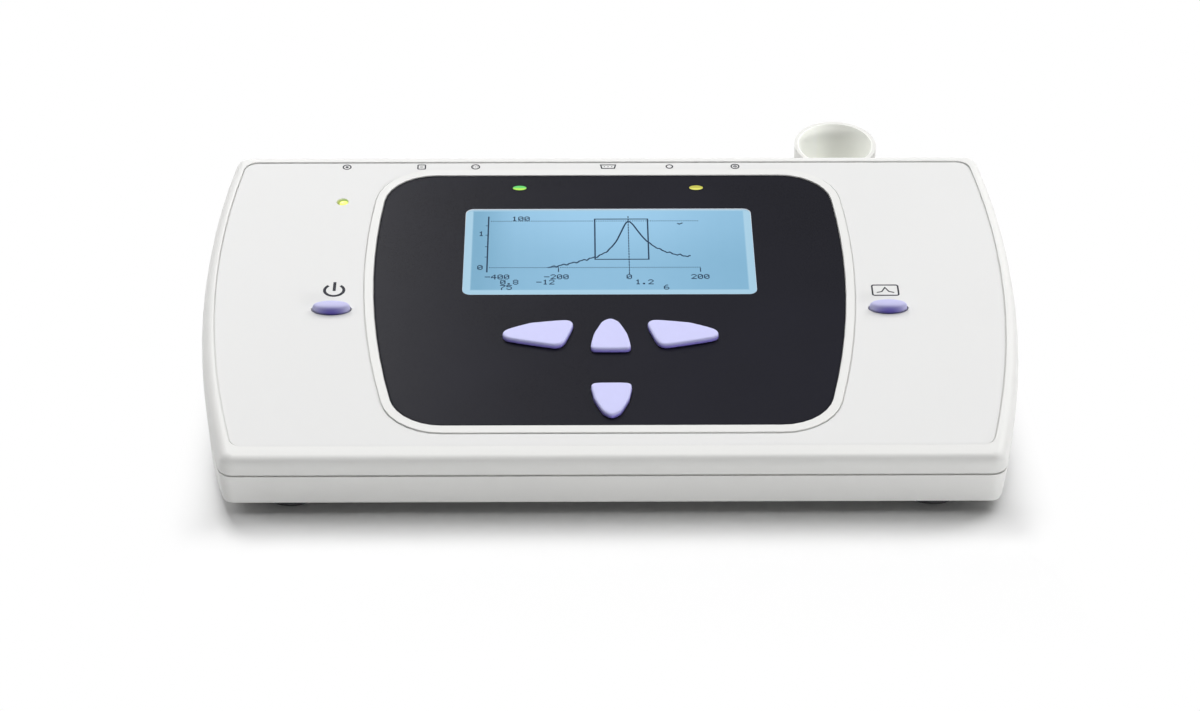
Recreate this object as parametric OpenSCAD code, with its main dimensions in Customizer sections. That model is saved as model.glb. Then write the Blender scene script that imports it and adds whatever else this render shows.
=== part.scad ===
// Desktop tympanometer: a wedge-shaped case with a sunk front panel, six soft keys, a back-lit
// display, an air pump with its manifold, the rear connectors and the cup that holds the probe.
// Units are millimetres. X runs right, Y runs to the back, Z runs up and Z = 0 is the table.

/* [View] */
// Sub-part to show, or all of them

/* [Case] */
// Width over the bowed sides
body_width = 270; // [260:1:290]
// Depth of the case without the probe cup
body_depth = 165; // [155:1:180]
// Height of the rear top edge above the table
body_height = 60; // [56:1:70]
// Slope of the top surface in degrees
slope = 14; // [12:0.5:15]
// Bow radius of the sides at the seam
side_radius = 430; // [400:5:480]
// Widest point of the sides, measured along the top from its rear edge
widest_at = 62; // [55:1:70]
// Rounding of the top edge of the cover
edge_radius = 3; // [2.5:0.1:3.2]
// Outward lean of the cover skirt below the rounding
skirt_lean = 0.6; // [0.4:0.1:0.8]
// Depth of the cover skirt below the top surface
skirt_depth = 5.4; // [5:0.1:6]
// Open shadow line between the cover and the tray
seam_gap = 0.7; // [0.5:0.1:0.9]
// Wall thickness of both shells
wall = 2.5; // [2.2:0.1:2.8]
// Corner radius of the flat top
corner_radius = 1.6; // [1.2:0.1:2.5]
// Thickness of the cover under the top surface
cover_skin = 2.6; // [2.4:0.1:2.8]
// Inset of the tray bottom against the seam
tray_draft = 1.2; // [0.8:0.1:1.8]
// Bevel round the bottom of the tray
tray_bevel = 1.4; // [1:0.1:1.8]
// Thickness of the tray floor
floor_skin = 2.5; // [2.2:0.1:2.8]

/* [Feet and screws] */
// Height of the tray above the table
foot_height = 3.2; // [2.6:0.1:4.5]
// Radius of the rubber feet
foot_radius = 8; // [6.5:0.5:9]
// Distance of the feet from the widest point of the sides
foot_side = 34.5; // [31:0.5:40]
// Distance of the front feet from the front edge
foot_front = 14; // [12:0.5:18]
// Distance of the rear feet from the rear edge
foot_rear = 28; // [24:0.5:34]
// Radius of the case screws
screw_radius = 1.5; // [1.4:0.05:1.6]
// Clearance of a screw in the boss that it is driven into
thread_gap = 0.03; // [0.02:0.01:0.05]
// Radius of the screw bosses
boss_radius = 4; // [3.8:0.1:4.4]

/* [Top panels] */
// Margin of the overlay at the sides
overlay_side = 0.4; // [0.3:0.1:1]
// Margin of the overlay at the rear edge
overlay_rear = 2.2; // [2:0.1:3]
// Margin of the overlay at the front edge
overlay_front = 4; // [3:0.1:5]
// Corner radius of the overlay
overlay_corner = 5; // [4:0.1:6]
// Depth of the recess for the films
film_recess = 0.8; // [0.7:0.05:0.9]
// Thickness of the films
film = 0.45; // [0.35:0.05:0.5]
// Open line between a film and the edge of its recess
film_gap = 0.45; // [0.35:0.05:0.6]
// Half width of the dark front panel
fascia_half = 78.9; // [78:0.1:79.5]
// Bow radius of the dark panel sides
fascia_bow = 349; // [330:1:370]
// Rear end of the dark panel along the top
fascia_rear = 10.7; // [10:0.1:11.5]
// Front end of the dark panel along the top
fascia_front = 151.6; // [150:0.1:152]
// Corner radius of the dark panel
fascia_corner = 17.5; // [15:0.5:20]
// Width of the raised frame at the sides of the dark panel
frame_side = 2.7; // [2.4:0.1:3]
// Width of the raised frame in front of and behind the dark panel
frame_end = 3.4; // [3:0.1:3.6]

/* [Display] */
// Width of the display window
window_width = 97.5; // [95:0.5:99]
// Depth of the display window along the slope
window_depth = 50; // [48:0.5:52]
// Middle of the display window along the top
window_mid = 56.3; // [55:0.1:58]
// Corner radius of the display window
window_corner = 2.6; // [2.3:0.1:3]
// Thickness of the display window
window_skin = 1.2; // [1:0.1:1.3]
// Depth of the display window under the film
window_sink = 0.35; // [0.2:0.05:0.4]
// Width of the metal frame of the display
lcd_width = 108; // [106:0.5:109]
// Depth of the metal frame of the display
lcd_depth = 62; // [60:0.5:62]
// Width of the metal frame beside the glass
lcd_side = 3; // [2:0.1:3.5]
// Width of the metal frame in front of and behind the glass
lcd_end = 4; // [3:0.1:4.5]
// Overlap of the metal frame over the glass
glass_lap = 1.8; // [1.5:0.1:2]
// Level of the display board under the top surface
lcd_level = 9; // [8.8:0.1:9.4]

/* [Keys] */
// Height of a key above its film
key_rise = 1.55; // [1.3:0.05:1.8]
// Travel of a key
key_travel = 1; // [0.8:0.05:1.1]
// Open gap round an arrow key
key_gap = 0.3; // [0.25:0.05:0.35]
// Width of an oval key
oval_width = 12.3; // [11.5:0.1:12.8]
// Depth of an oval key
oval_depth = 5.6; // [5.2:0.1:6]
// Open gap round an oval key
oval_gap = 0.55; // [0.45:0.05:0.65]
// Side position of the oval keys
oval_x = 91.5; // [90:0.5:93]
// Position of the oval keys along the top
oval_at = 89.4; // [88:0.1:91]
// Base of the upper arrow key along the top
up_at = 113; // [112:0.1:114]
// Base of the lower arrow key along the top
down_at = 131.1; // [130:0.1:132]
// Width of the hidden rim that keeps a key in place
key_rim = 1; // [0.8:0.1:1.2]
// Level of the key boards under the top surface
key_level = 6.5; // [6.4:0.1:7]

/* [Lamps] */
// Position of the power lamp along the top
lamp_at = 26.6; // [25:0.1:28]
// Radius of the power lamp
lamp_radius = 1.5; // [1.4:0.1:1.7]
// Radius of the hole above the power lamp
lamp_hole = 2.1; // [2:0.1:2.3]
// Width of a lamp in the dark panel
bar_width = 4.7; // [4.2:0.1:5]
// Depth of a lamp in the dark panel
bar_depth = 3; // [2.6:0.1:3.2]
// Side position of the lamps in the dark panel
bar_x = 30.6; // [29:0.1:32]
// Position of the lamps in the dark panel along the top
bar_at = 18.3; // [17.5:0.1:19]

/* [Sockets] */
// Side position of the power jack
power_x = -91.2; // [-93:0.1:-90]
// Side position of the square data socket
data_x = -65.1; // [-67:0.1:-63]
// Side position of the round printer socket
printer_x = -46.2; // [-48:0.1:-45]
// Side position of the probe socket
probe_x = 0.2; // [-2:0.1:2]
// Side position of the air port
air_x = 21.7; // [20:0.1:23]
// Side position of the earphone jack
contra_x = 44.7; // [43:0.1:46]
// Height of the jack, the air port and the pump's manifold outlet
port_z = 24; // [23:0.5:25]
// Clearance of a connector in its hole in the rear plate
panel_gap = 0.1; // [0.05:0.05:0.2]
// Radius of the power jack's collar
power_radius = 5.1; // [4.8:0.1:5.4]
// Radius of the printer socket's shield
printer_radius = 6.5; // [6.2:0.1:6.8]
// Radius of the air port's collar
air_radius = 3; // [2.8:0.1:3.2]
// Radius of the earphone jack's collar
contra_radius = 4.5; // [4.3:0.1:4.8]
// Half distance between the locking posts of the probe socket
post_half = 12.5; // [12:0.1:13]
// Radius of the locking posts where they pass the rear plate
post_radius = 1.6; // [1.5:0.1:1.8]

/* [Probe cup] */
// Side position of the cup
cup_x = 81.5; // [78:0.5:84]
// Inner radius of the cup
cup_radius = 13; // [12.8:0.1:13.4]
// Wall of the cup
cup_wall = 1.5; // [1.3:0.1:1.8]
// Gap between the cup and the rear wall of the case
cup_gap = 0.3; // [0.2:0.05:0.5]
// Depth of the cup rim under the extended top surface
cup_drop = 5; // [4:0.1:6]
// Height of the cup bottom above the table
cup_foot = 18; // [16:0.5:22]

// Half distance between the screws of the cup's flange
holder_half = 17.5; // [17:0.1:19]
// Height of the screws of the cup's flange
holder_z = 38; // [36:0.5:40]

/* [Pump] */
// Distance of the motor end from the widest point of the sides
pump_side = 7.5; // [7:0.25:8]
// Distance of the pump axis from the rear edge
pump_back = 53; // [51:0.5:55]
// Height of the pump axis above the table
pump_z = 25; // [24:0.5:26]
// Radius of the pump bore
bore_radius = 9; // [8.5:0.1:9.5]
// Half length of the motor's screw ears
ear_half = 14.6; // [14.2:0.1:15]
// Stroke of the piston
pump_stroke = 12; // [10:0.5:12]
// Running gap of the piston and of its screw
run_gap = 0.04; // [0.03:0.01:0.06]

/* [Hidden] */
$fn = 48;
tilt_cos = cos(slope);
tilt_sin = sin(slope);
skirt_out = edge_radius + skirt_lean;
front_reach = skirt_out * tilt_cos - skirt_depth * tilt_sin;
rear_reach = 2;
rear_flat = body_depth - rear_reach;
flat_len = (rear_flat - front_reach) / tilt_cos;
half_width = body_width / 2;
flat_half = half_width - skirt_out;
overlay_half = flat_half - overlay_side;
flat_bow = side_radius - skirt_out;
seam_depth = skirt_depth + seam_gap;
cup_out = cup_radius + cup_wall;
cup_y = body_depth + cup_gap + cup_out;
mid_y = (cup_y + cup_out) / 2;
tray_floor = foot_height + floor_skin;
board_z = 12;
board_skin = 1.6;
board_top = board_z + board_skin;
socket_z = board_top + 7;
plate_skin = 2;
plate_y = body_depth - wall - plate_skin;
plate_left = power_x - 16.8;
plate_width = contra_x + 14.3 - plate_left;
foot_x = half_width - foot_side;
pump_y = body_depth - pump_back;
film_top = film_recess - film;
window_top = film_top + window_sink;
key_rim_top = cover_skin + 0.1;
key_rim_end = key_rim_top + 1.5;
pill_end = key_level - key_travel - 0.1;
mat_skin = 1.3;
pad_front = -down_at - 18.3;
pad_rear = 19 - up_at;
lcd_front = -window_mid - lcd_depth / 2 - 3.7;
glass_width = lcd_width - 2 * lcd_side;
glass_depth = lcd_depth - 2 * lcd_end;
boss_posts = [[half_width - 51, 13], [half_width - 11, 80], [half_width - 17, body_depth - 13]];
lcd_posts = [for (at = [lcd_depth / 2 - 1.3, 1.7 - lcd_depth / 2]) [lcd_width / 2 + 6, window_mid + at]];
key_posts = [[39, 6 - pad_rear], [39, -pad_front - 2.5]];
side_posts = [[oval_x - 9, oval_at - 10.4], [oval_x + 6, oval_at + 10.6]];
board_front = 64;
board_rear = plate_y - 2.5;
board_right = half_width - 16;
notch_y = board_rear - 22;
board_spots = [[-50, board_front + 6], [board_right - 7, board_front + 6], [-75, board_rear - 4],
  [board_right - 5, board_rear - 28], [-28, pump_y + 6], [66, board_rear - 5]];
seal_width = 1.6;
hose_bore = 1.5;
steps = 4;

// Frames: the table frame of the case and the tilted frame of its top surface.
module ground() {
  translate([0, -mid_y, 0]) children();
}

module tilt() {
  translate([0, rear_flat - mid_y, body_height]) rotate([slope, 0, 0]) children();
}

// Height of the top surface over the table at a distance y from the front edge.
function top_z(y) = body_height - (rear_flat - y) * tilt_sin / tilt_cos;

// Outline with bowed sides: half width, bow radius, widest point, front, rear, corner radius.
function bow(half, radius, mid, front, rear, corner, n = 12, m = 5) =
  let (c = half - radius,
    uf = c + sqrt(pow(radius - corner, 2) - pow(front + corner - mid, 2)),
    ur = c + sqrt(pow(radius - corner, 2) - pow(rear - corner - mid, 2)),
    af = atan2(front + corner - mid, uf - c),
    ar = atan2(rear - corner - mid, ur - c),
    right = concat(
      [for (i = [0 : m]) let (a = -90 + (af + 90) * i / m)
        [uf + corner * cos(a), front + corner + corner * sin(a)]],
      [for (i = [1 : n - 1]) let (a = af + (ar - af) * i / n)
        [c + radius * cos(a), mid + radius * sin(a)]],
      [for (i = [0 : m]) let (a = ar + (90 - ar) * i / m)
        [ur + corner * cos(a), rear - corner + corner * sin(a)]]))
  concat(right, [for (i = [len(right) - 1 : -1 : 0]) [-right[i][0], right[i][1]]]);

// Outline of the case, grown by out, with its rear edge at rear.
function case_line(out, rear) =
  bow(flat_half + out, flat_bow + out, -widest_at, -flat_len - out, rear, corner_radius + out);

// Rear edge of the upright rear wall, seen in the tilted frame at a depth under the top.
function rear_at(depth) = (rear_reach - depth * tilt_sin) / tilt_cos;

// Outlines of the films, grown by g.
function overlay_line(g) =
  bow(overlay_half + g, 401, -widest_at, -flat_len + overlay_front - g, -overlay_rear + g,
    overlay_corner + g);

function fascia_line(g) =
  bow(fascia_half + g, fascia_bow + g, -61, -fascia_front - g, -fascia_rear + g,
    fascia_corner + g, 10, 7);

function frame_line(g) =
  bow(fascia_half + frame_side + g, fascia_bow + g, -61.5, -fascia_front - frame_end - g,
    -fascia_rear + frame_end + g, fascia_corner + frame_side + g, 10, 7);

// Outline round a ring of circles [x, y, radius] given in anticlockwise order, grown by g.
function touch(p, q) =
  let (dx = q[0] - p[0], dy = q[1] - p[1])
  atan2(dy, dx) - 90 + asin((p[2] - q[2]) / sqrt(dx * dx + dy * dy));

function turn(a, b) = let (d = (b - a) % 360) d < 0 ? d + 360 : d;

function around(c, g = 0, k = 5) =
  [for (i = [0 : len(c) - 1])
    let (q = c[i],
      a = touch(c[(i + len(c) - 1) % len(c)], q),
      s = turn(a, touch(q, c[(i + 1) % len(c)])))
    for (j = [0 : k])
      [q[0] + (q[2] + g) * cos(a + s * j / k), q[1] + (q[2] + g) * sin(a + s * j / k)]];

// Key outlines. The arch key points away from its base line; the side key points left.
arch_ring = [[5.1, 1.3, 1.3], [0, 6.6, 5.6], [0, 12.7, 3.3], [0, 14.9, 1.5], [0, 12.7, 3.3],
  [0, 6.6, 5.6], [-5.1, 1.3, 1.3]];
side_ring = [[-32.4, 8.2, 2.6], [-18, 5.2, 3.2], [-14.4, 13.4, 2.2], [-24.8, 9.9, 4.3]];

function arch_line(base, way, g) =
  [for (p = around(arch_ring, g)) [way * p[0], base + way * p[1]]];

function side_line(way, g) =
  let (line = around(side_ring, g), last = len(line) - 1)
  [for (i = [0 : last]) let (p = line[way < 0 ? i : last - i]) [-way * p[0], p[1] - up_at]];

function oval_line(x, g) =
  [for (i = [0 : 35])
    [x + (oval_width / 2 + g) * cos(i * 10), -oval_at + (oval_depth / 2 + g) * sin(i * 10)]];

// Upright slab in the tilted frame between two depths under the top surface.
module slab(line, from, to) {
  translate([0, 0, -to]) linear_extrude(to - from) polygon(line);
}

// Solid through a stack of rings with equal numbers of points, the lowest ring first.
module loft(rings) {
  n = len(rings[0]);
  k = len(rings);
  sides = [for (i = [0 : k - 2]) for (j = [0 : n - 1])
    let (a = i * n + j, b = i * n + (j + 1) % n)
    each [[a, a + n, b], [b, a + n, b + n]]];
  polyhedron(points = [for (r = rings) each r],
    faces = concat([[for (j = [0 : n - 1]) j]], sides,
      [[for (j = [n - 1 : -1 : 0]) (k - 1) * n + j]]));
}

function level(line, depth) = [for (p = line) [p[0], p[1], -depth]];

// Ring of the tray wall at a height z, in the table frame; the rear wall stays upright.
function tray_ring(inset, z, rear) =
  [for (p = case_line(skirt_out - inset, rear_at(seam_depth) - rear))
    [p[0], rear_flat + p[1] * tilt_cos + seam_depth * tilt_sin, z]];

// Ring of the tray at a depth under the tilted top surface, in the table frame.
function tilt_ring(inset, depth) =
  [for (p = case_line(skirt_out - inset, rear_at(depth) - inset))
    [p[0], rear_flat + p[1] * tilt_cos + depth * tilt_sin,
      body_height + p[1] * tilt_sin - depth * tilt_cos]];

module mirrored() {
  children();
  mirror([1, 0, 0]) children();
}

// Keyed openings shared by the cover and the films.
module key_cuts(g_arch, g_oval, from, to) {
  slab(arch_line(-up_at, 1, g_arch), from, to);
  slab(arch_line(-down_at, -1, g_arch), from, to);
  slab(side_line(1, g_arch), from, to);
  slab(side_line(-1, g_arch), from, to);
  slab(oval_line(-oval_x, g_oval), from, to);
  slab(oval_line(oval_x, g_oval), from, to);
}

module window_cut(g, from, to) {
  slab(rounded(window_width / 2 + g, window_depth / 2 + g, window_corner + g, -window_mid), from, to);
}

// Rectangle with round corners: half width, half depth, corner radius and middle.
function rounded(hw, hd, r, mid) =
  [for (q = [0 : 3]) for (i = [0 : 5]) let (a = q * 90 + i * 18)
    [((q == 0 || q == 3) ? hw - r : r - hw) + r * cos(a), mid + (q < 2 ? hd - r : r - hd) + r * sin(a)]];

module bar_shape(g, from, to) {
  translate([0, -bar_at, -to]) {
    linear_extrude(to - from) {
      square([bar_width - bar_depth, bar_depth + 2 * g], center = true);
      for (s = [-1, 1]) translate([s * (bar_width - bar_depth) / 2, 0]) circle(bar_depth / 2 + g);
    }
  }
}

module lamp_cuts(from, to) {
  for (s = [-1, 1]) translate([s * bar_x, 0, 0]) bar_shape(0.15, from, to);
  translate([-oval_x, -lamp_at, -to]) cylinder(r = lamp_hole, h = to - from);
}

// Space over a plane under the tilted top surface, used to trim upright bosses.
module above(depth) {
  tilt() translate([-160, -220, -depth]) cube([320, 280, 40]);
}

// Shells
module cover_blank() {
  loft(concat(
    [level(case_line(skirt_out, rear_at(skirt_depth)), skirt_depth)],
    [for (i = [steps : -1 : 0])
      let (a = 90 * i / steps, d = edge_radius * (1 - cos(a)))
      level(case_line(edge_radius * sin(a), -1 + (rear_at(d) + 1) * sin(a)), d)]));
}

module top_cover() color("#EEEEEA") {
  tilt() difference() {
    cover_blank();
    slab(case_line(skirt_out - wall, -2.5), cover_skin, skirt_depth + 1);
    slab(case_line(skirt_out - wall + 1.35, -1.4), skirt_depth - 1.4, skirt_depth + 1);
    difference() {
      slab(overlay_line(0), -1, film_recess);
      slab(frame_line(0), -2, film_recess + 1);
    }
    slab(fascia_line(0), -1, film_recess);
    key_cuts(key_gap, oval_gap, 0, cover_skin + 1);
    window_cut(-2, 0, cover_skin + 1);
    window_cut(0.1, -1, window_top + window_skin);
    lamp_cuts(0, cover_skin + 1);
  }
  difference() {
    ground() for (p = boss_posts) mirrored()
      translate([p[0], p[1], top_z(p[1]) - 9.5]) difference() {
        cylinder(r = boss_radius, h = 12);
        translate([0, 0, -1]) cylinder(r = screw_radius + thread_gap, h = 7);
      }
    above(cover_skin - 1);
  }
  tilt() {
    for (p = lcd_posts) mirrored() post(p, lcd_level, 2.6);
    for (p = key_posts) mirrored() post(p, key_level, 2.2);
    for (p = side_posts) mirrored() post(p, key_level, 2);
  }
}

module post(p, depth, radius) {
  translate([p[0], -p[1], -depth]) difference() {
    cylinder(r = radius, h = depth - cover_skin + 0.5);
    translate([0, 0, -1]) cylinder(r = 1 + thread_gap, h = 4.5);
  }
}

module base_tray() color("#E9E9E5") ground() {
  difference() {
    loft([tray_ring(tray_draft + tray_bevel, foot_height, tray_bevel),
      tray_ring(tray_draft + tray_bevel * 0.35, foot_height + tray_bevel * 0.3, tray_bevel * 0.35),
      tray_ring(tray_draft, foot_height + tray_bevel, 0), tilt_ring(0, seam_depth)]);
    loft([tray_ring(tray_draft + wall, tray_floor, wall), tilt_ring(wall, seam_depth - 0.01)]);
    for (p = boss_posts) mirrored() translate([p[0], p[1], 0]) {
      cylinder(r = screw_radius + 0.3, h = 60);
      cylinder(r = 3.2, h = foot_height + 1.3);
    }
    foot_spots() translate([0, 0, foot_height - 1]) cylinder(r = foot_radius + 0.1, h = 2);
    bracket_spots() cylinder(r = 1 + thread_gap, h = 4);
    translate([plate_left + 4, plate_y - 1, board_top - 1]) cube([plate_width - 8, 10, 29]);
    for (s = [-1, 1]) translate([cup_x + s * holder_half, body_depth - 8, holder_z]) rotate([-90, 0, 0])
      cylinder(r = 1.2 + thread_gap, h = 12);
  }
  tongue();
  difference() {
    union() {
      for (p = boss_posts) mirrored() translate([p[0], p[1], tray_floor - 0.5]) cylinder(
        r = boss_radius, h = top_z(p[1]) - 9.5 - tray_floor + 0.5);
    }
    for (p = boss_posts) mirrored() translate([p[0], p[1], 0]) cylinder(
      r = screw_radius + 0.3, h = 60);
  }
  for (p = board_spots) translate([p[0], p[1], tray_floor - 0.5]) difference() {
    cylinder(r = 3, h = board_z - tray_floor + 0.5);
    translate([0, 0, 0.6]) cylinder(r = 1.2 + thread_gap, h = 8);
  }
  for (x = [plate_left - 2, plate_left + plate_width - 1]) translate([x, plate_y - 2.2, tray_floor - 0.5])
    cube([3, 2.1, 30]);
  for (x = [plate_left - 2.2, plate_left + plate_width + 0.2])
    translate([x, plate_y - 2.2, tray_floor - 0.5]) cube([2, 5, 30]);
  for (s = [-1, 1]) translate([cup_x + s * holder_half, body_depth - wall - 4, holder_z])
    rotate([-90, 0, 0]) difference() {
      cylinder(r = 3.2, h = 4.5);
      translate([0, 0, -1]) cylinder(r = 1.2 + thread_gap, h = 8);
    }
}

module tongue() {
  translate([0, rear_flat, body_height]) rotate([slope, 0, 0]) difference() {
    slab(case_line(skirt_out - wall + 1.2, -1.6), skirt_depth - 1.2, seam_depth + 0.6);
    slab(case_line(skirt_out - wall, -2.8), 0, seam_depth + 2);
  }
}

module foot_spots() {
  mirrored() {
    translate([foot_x, foot_front, 0]) children();
    translate([foot_x, body_depth - foot_rear, 0]) children();
  }
}

module rubber_feet() color("#3A3A3C") ground() foot_spots() {
  cylinder(r1 = foot_radius - 0.8, r2 = foot_radius, h = 1);
  translate([0, 0, 1]) cylinder(r = foot_radius, h = foot_height);
}

module case_screws() color("#B9BBBE") ground() for (p = boss_posts) mirrored()
  translate([p[0], p[1], foot_height + 1.3]) difference() {
    union() {
      translate([0, 0, -1.8]) cylinder(r = 2.9, h = 1.8);
      cylinder(r = screw_radius, h = top_z(p[1]) - 9.5 + 4.5 - foot_height - 1.3);
    }
    driver_slot(2.9, 1.8);
  }

// Cross recess in the underside of a screw head at z = -depth.
module driver_slot(radius, depth) {
  for (a = [0, 90]) rotate(a) translate([-radius * 0.55, -0.35, -depth - 1])
    cube([radius * 1.1, 0.7, 2]);
}

// Films and window
module side_overlay() color("#ECECEA") tilt() difference() {
  slab(overlay_line(-film_gap), film_top, film_recess);
  slab(frame_line(film_gap), -1, film_recess + 1);
  slab(oval_line(-oval_x, oval_gap), -1, film_recess + 1);
  slab(oval_line(oval_x, oval_gap), -1, film_recess + 1);
  lamp_cuts(-1, film_recess + 1);
}

module fascia_label() color("#3B3B40") tilt() difference() {
  slab(fascia_line(-0.25), film_top, film_recess);
  key_cuts(key_gap, oval_gap, -1, film_recess + 1);
  window_cut(0.1, -1, film_recess + 1);
  lamp_cuts(-1, film_recess + 1);
}

module display_window() color("#BFD9EA", 0.4) tilt() window_cut(0, window_top, window_top + window_skin);

// Lamps
module led_power() color("#D8EE8A") tilt() translate([-oval_x, -lamp_at, 0]) {
  translate([0, 0, -film_recess - 2.4]) sphere(r = lamp_radius);
  translate([0, 0, -key_level]) cylinder(r = lamp_radius, h = key_level - film_recess - 2.4);
  translate([0, 0, -key_level]) cylinder(r = lamp_radius + 0.3, h = 0.8);
}

module bar_lamp(side) tilt() translate([side * bar_x, 0, 0]) {
  bar_shape(0, film_top, lcd_level - 2.5);
  translate([-3, -bar_at - 2, -lcd_level]) cube([6, 4, 2.6]);
}

module led_left() color("#8FD45A") bar_lamp(-1);

module led_right() color("#DDE055") bar_lamp(1);

// Keys: a soft cap, a rim that keeps it under the cover and a contact pill.
module soft_key(rings, rim, at, pill, drop = cap_drop) color("#CFCDF2") tilt() {
  loft(concat([level(rings[0], key_rim_end)],
    [for (i = [0 : len(rings) - 1]) level(rings[i], film_top - key_rise + drop[i])]));
  slab(rim, key_rim_top, key_rim_end);
  translate([at[0], at[1], -pill_end]) cylinder(r = pill, h = pill_end - key_rim_end + 0.2);
}

// Inset and depth of each ring over the rounded edge of a key.
cap_inset = [0, 0.08, 0.3, 0.65, 1.15];
cap_drop = [0.75, 0.42, 0.16, 0.04, 0];

// The same for the domed oval keys.
dome_inset = [0, 0.1, 0.4, 0.95, 1.6, 2.25];
dome_drop = [1.15, 0.78, 0.42, 0.16, 0.04, 0];

module key_up() soft_key([for (g = cap_inset) arch_line(-up_at, 1, -g)],
  arch_line(-up_at, 1, key_rim), [0, 6.5 - up_at], 3);

module key_down() soft_key([for (g = cap_inset) arch_line(-down_at, -1, -g)],
  arch_line(-down_at, -1, key_rim), [0, -down_at - 6.5], 3);

module key_left() soft_key([for (g = cap_inset) side_line(-1, -g)], side_line(-1, key_rim),
  [-21, 8.5 - up_at], 3);

module key_right() soft_key([for (g = cap_inset) side_line(1, -g)], side_line(1, key_rim),
  [21, 8.5 - up_at], 3);

module key_power() soft_key([for (g = dome_inset) oval_line(-oval_x, -g)],
  oval_line(-oval_x, key_rim), [-oval_x, -oval_at], 2, dome_drop);

module key_mode() soft_key([for (g = dome_inset) oval_line(oval_x, -g)],
  oval_line(oval_x, key_rim), [oval_x, -oval_at], 2, dome_drop);

module keypad_mats() color("#B9B7DC") tilt() difference() {
  union() {
    translate([-36, pad_front, -key_level]) cube([72, pad_rear - pad_front, mat_skin]);
    for (s = [-1, 1]) translate([s * oval_x - 8.2, -oval_at - 6, -key_level])
      cube([16.4, 12, mat_skin]);
  }
  key_cuts(key_rim + 0.4, key_rim + 0.4, 0, 20);
}

module key_board() color("#1F6B45") tilt() difference() {
  translate([-42, pad_front - 0.5, -key_level - board_skin])
    cube([84, pad_rear - pad_front - 2, board_skin]);
  for (p = key_posts) mirrored() translate([p[0], -p[1], -20]) cylinder(r = 1.2, h = 20);
}

module side_boards() color("#1F6B45") tilt() difference() {
  union() {
    translate([-oval_x - 8.7, -oval_at - 13.6, -key_level - board_skin])
      cube([20.7, oval_at - lamp_at + 18.2, board_skin]);
    translate([oval_x - 12, -oval_at - 13.6, -key_level - board_skin]) cube([20.7, 27, board_skin]);
  }
  for (p = side_posts) mirrored() translate([p[0], -p[1], -20]) cylinder(r = 1.2, h = 20);
}

// Display module
module glass_block(width, depth, from, height) {
  translate([-width / 2, -window_mid - depth / 2, from - lcd_level]) cube([width, depth, height]);
}

module lcd_glass() color("#9CC7E6") tilt() glass_block(glass_width, glass_depth, 3, 2.2);

module lcd_backlight() color("#E6F1FA") tilt() glass_block(glass_width, glass_depth, 0.4, 2.6);

module lcd_frame() color("#2B2D31") tilt() difference() {
  glass_block(lcd_width, lcd_depth, 0, 6);
  glass_block(glass_width, glass_depth, -1, 6.2);
  glass_block(glass_width - 2 * glass_lap, glass_depth - 2 * glass_lap, 1, 8);
}

module lcd_board() color("#1F6B45") tilt() difference() {
  translate([-lcd_width / 2 - 10, lcd_front, -lcd_level - board_skin])
    cube([lcd_width + 20, lcd_depth + 18, board_skin]);
  for (p = lcd_posts) mirrored() translate([p[0], -p[1], -20]) cylinder(r = 1.2, h = 20);
}

module small_screw(p, depth) {
  translate([p[0], -p[1], -depth]) difference() {
    union() {
      translate([0, 0, -board_skin - 1.2]) cylinder(r = 1.9, h = 1.2);
      translate([0, 0, -board_skin]) cylinder(r = 1, h = board_skin + 3);
    }
    translate([0, 0, -board_skin]) driver_slot(1.9, 1.2);
  }
}

module cover_screws() color("#B9BBBE") tilt() {
  for (p = lcd_posts) mirrored() small_screw(p, lcd_level);
  for (p = key_posts) mirrored() small_screw(p, key_level);
  for (p = side_posts) mirrored() small_screw(p, key_level);
}

// Boards in the tray
module main_board() color("#1B6440") ground() difference() {
  translate([0, 0, board_z]) linear_extrude(board_skin)
    polygon([[-56, board_front], [board_right, board_front], [board_right, notch_y],
      [board_right - 11, notch_y], [board_right - 11, board_rear], [-80, board_rear], [-80, notch_y],
      [-56, notch_y]]);
  for (p = board_spots) translate([p[0], p[1], 0]) cylinder(r = 1.4, h = 30);
}

module board_screws() color("#B9BBBE") ground() for (p = board_spots)
  translate([p[0], p[1], board_top]) {
    difference() {
      cylinder(r = 2.3, h = 1.4);
      translate([0, 0, 2.4]) driver_slot(2.3, 1.4);
    }
    translate([0, 0, -board_skin - 3.2]) cylinder(r = 1.2, h = board_skin + 3.4);
  }

module board_chips() color("#26272A") ground() {
  translate([70, 100, board_top]) cube([20, 20, 1.6]);
  translate([66, 76, board_top]) cube([14, 9, 1.4]);
  translate([90, 78, board_top]) cube([12, 8, 1.4]);
  translate([-44, 90, board_top]) cube([12, 10, 1.4]);
  translate([-46, 108, board_top]) cube([10, 8, 1.4]);
  translate([-20, 96, board_top]) cube([8, 6, 1.2]);
  translate([14, 96, board_top]) cube([10, 6, 1.2]);
  translate([-20, 82, board_top]) cube([40, 5, 3]);
  translate([-79, notch_y, board_top]) cube([6, 7, 4]);
  translate([-55.5, pump_y - 23, board_top]) cube([5, 8, 4]);
}

module board_capacitors() color("#2F4A86") ground()
  for (p = [[96, 106], [96, 116], [104, 96], [-36, notch_y + 4], [84, notch_y - 2]])
    translate([p[0], p[1], board_top]) cylinder(r = 3.2, h = 8);

module coin_cell() color("#C8CACD") ground() translate([42, 84, board_top]) {
  cylinder(r = 10, h = 3.2);
  translate([-12, -3, 0]) cube([24, 6, 1]);
}

module flat_cable() color("#E9E7DD") ground() {
  translate([-16, 84.2, board_top + 3]) cube([32, 0.4, top_z(84) - 11 - board_top - 3]);
  translate([-16, 82.6, board_top + 3]) cube([32, 1.7, 0.4]);
}

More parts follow.
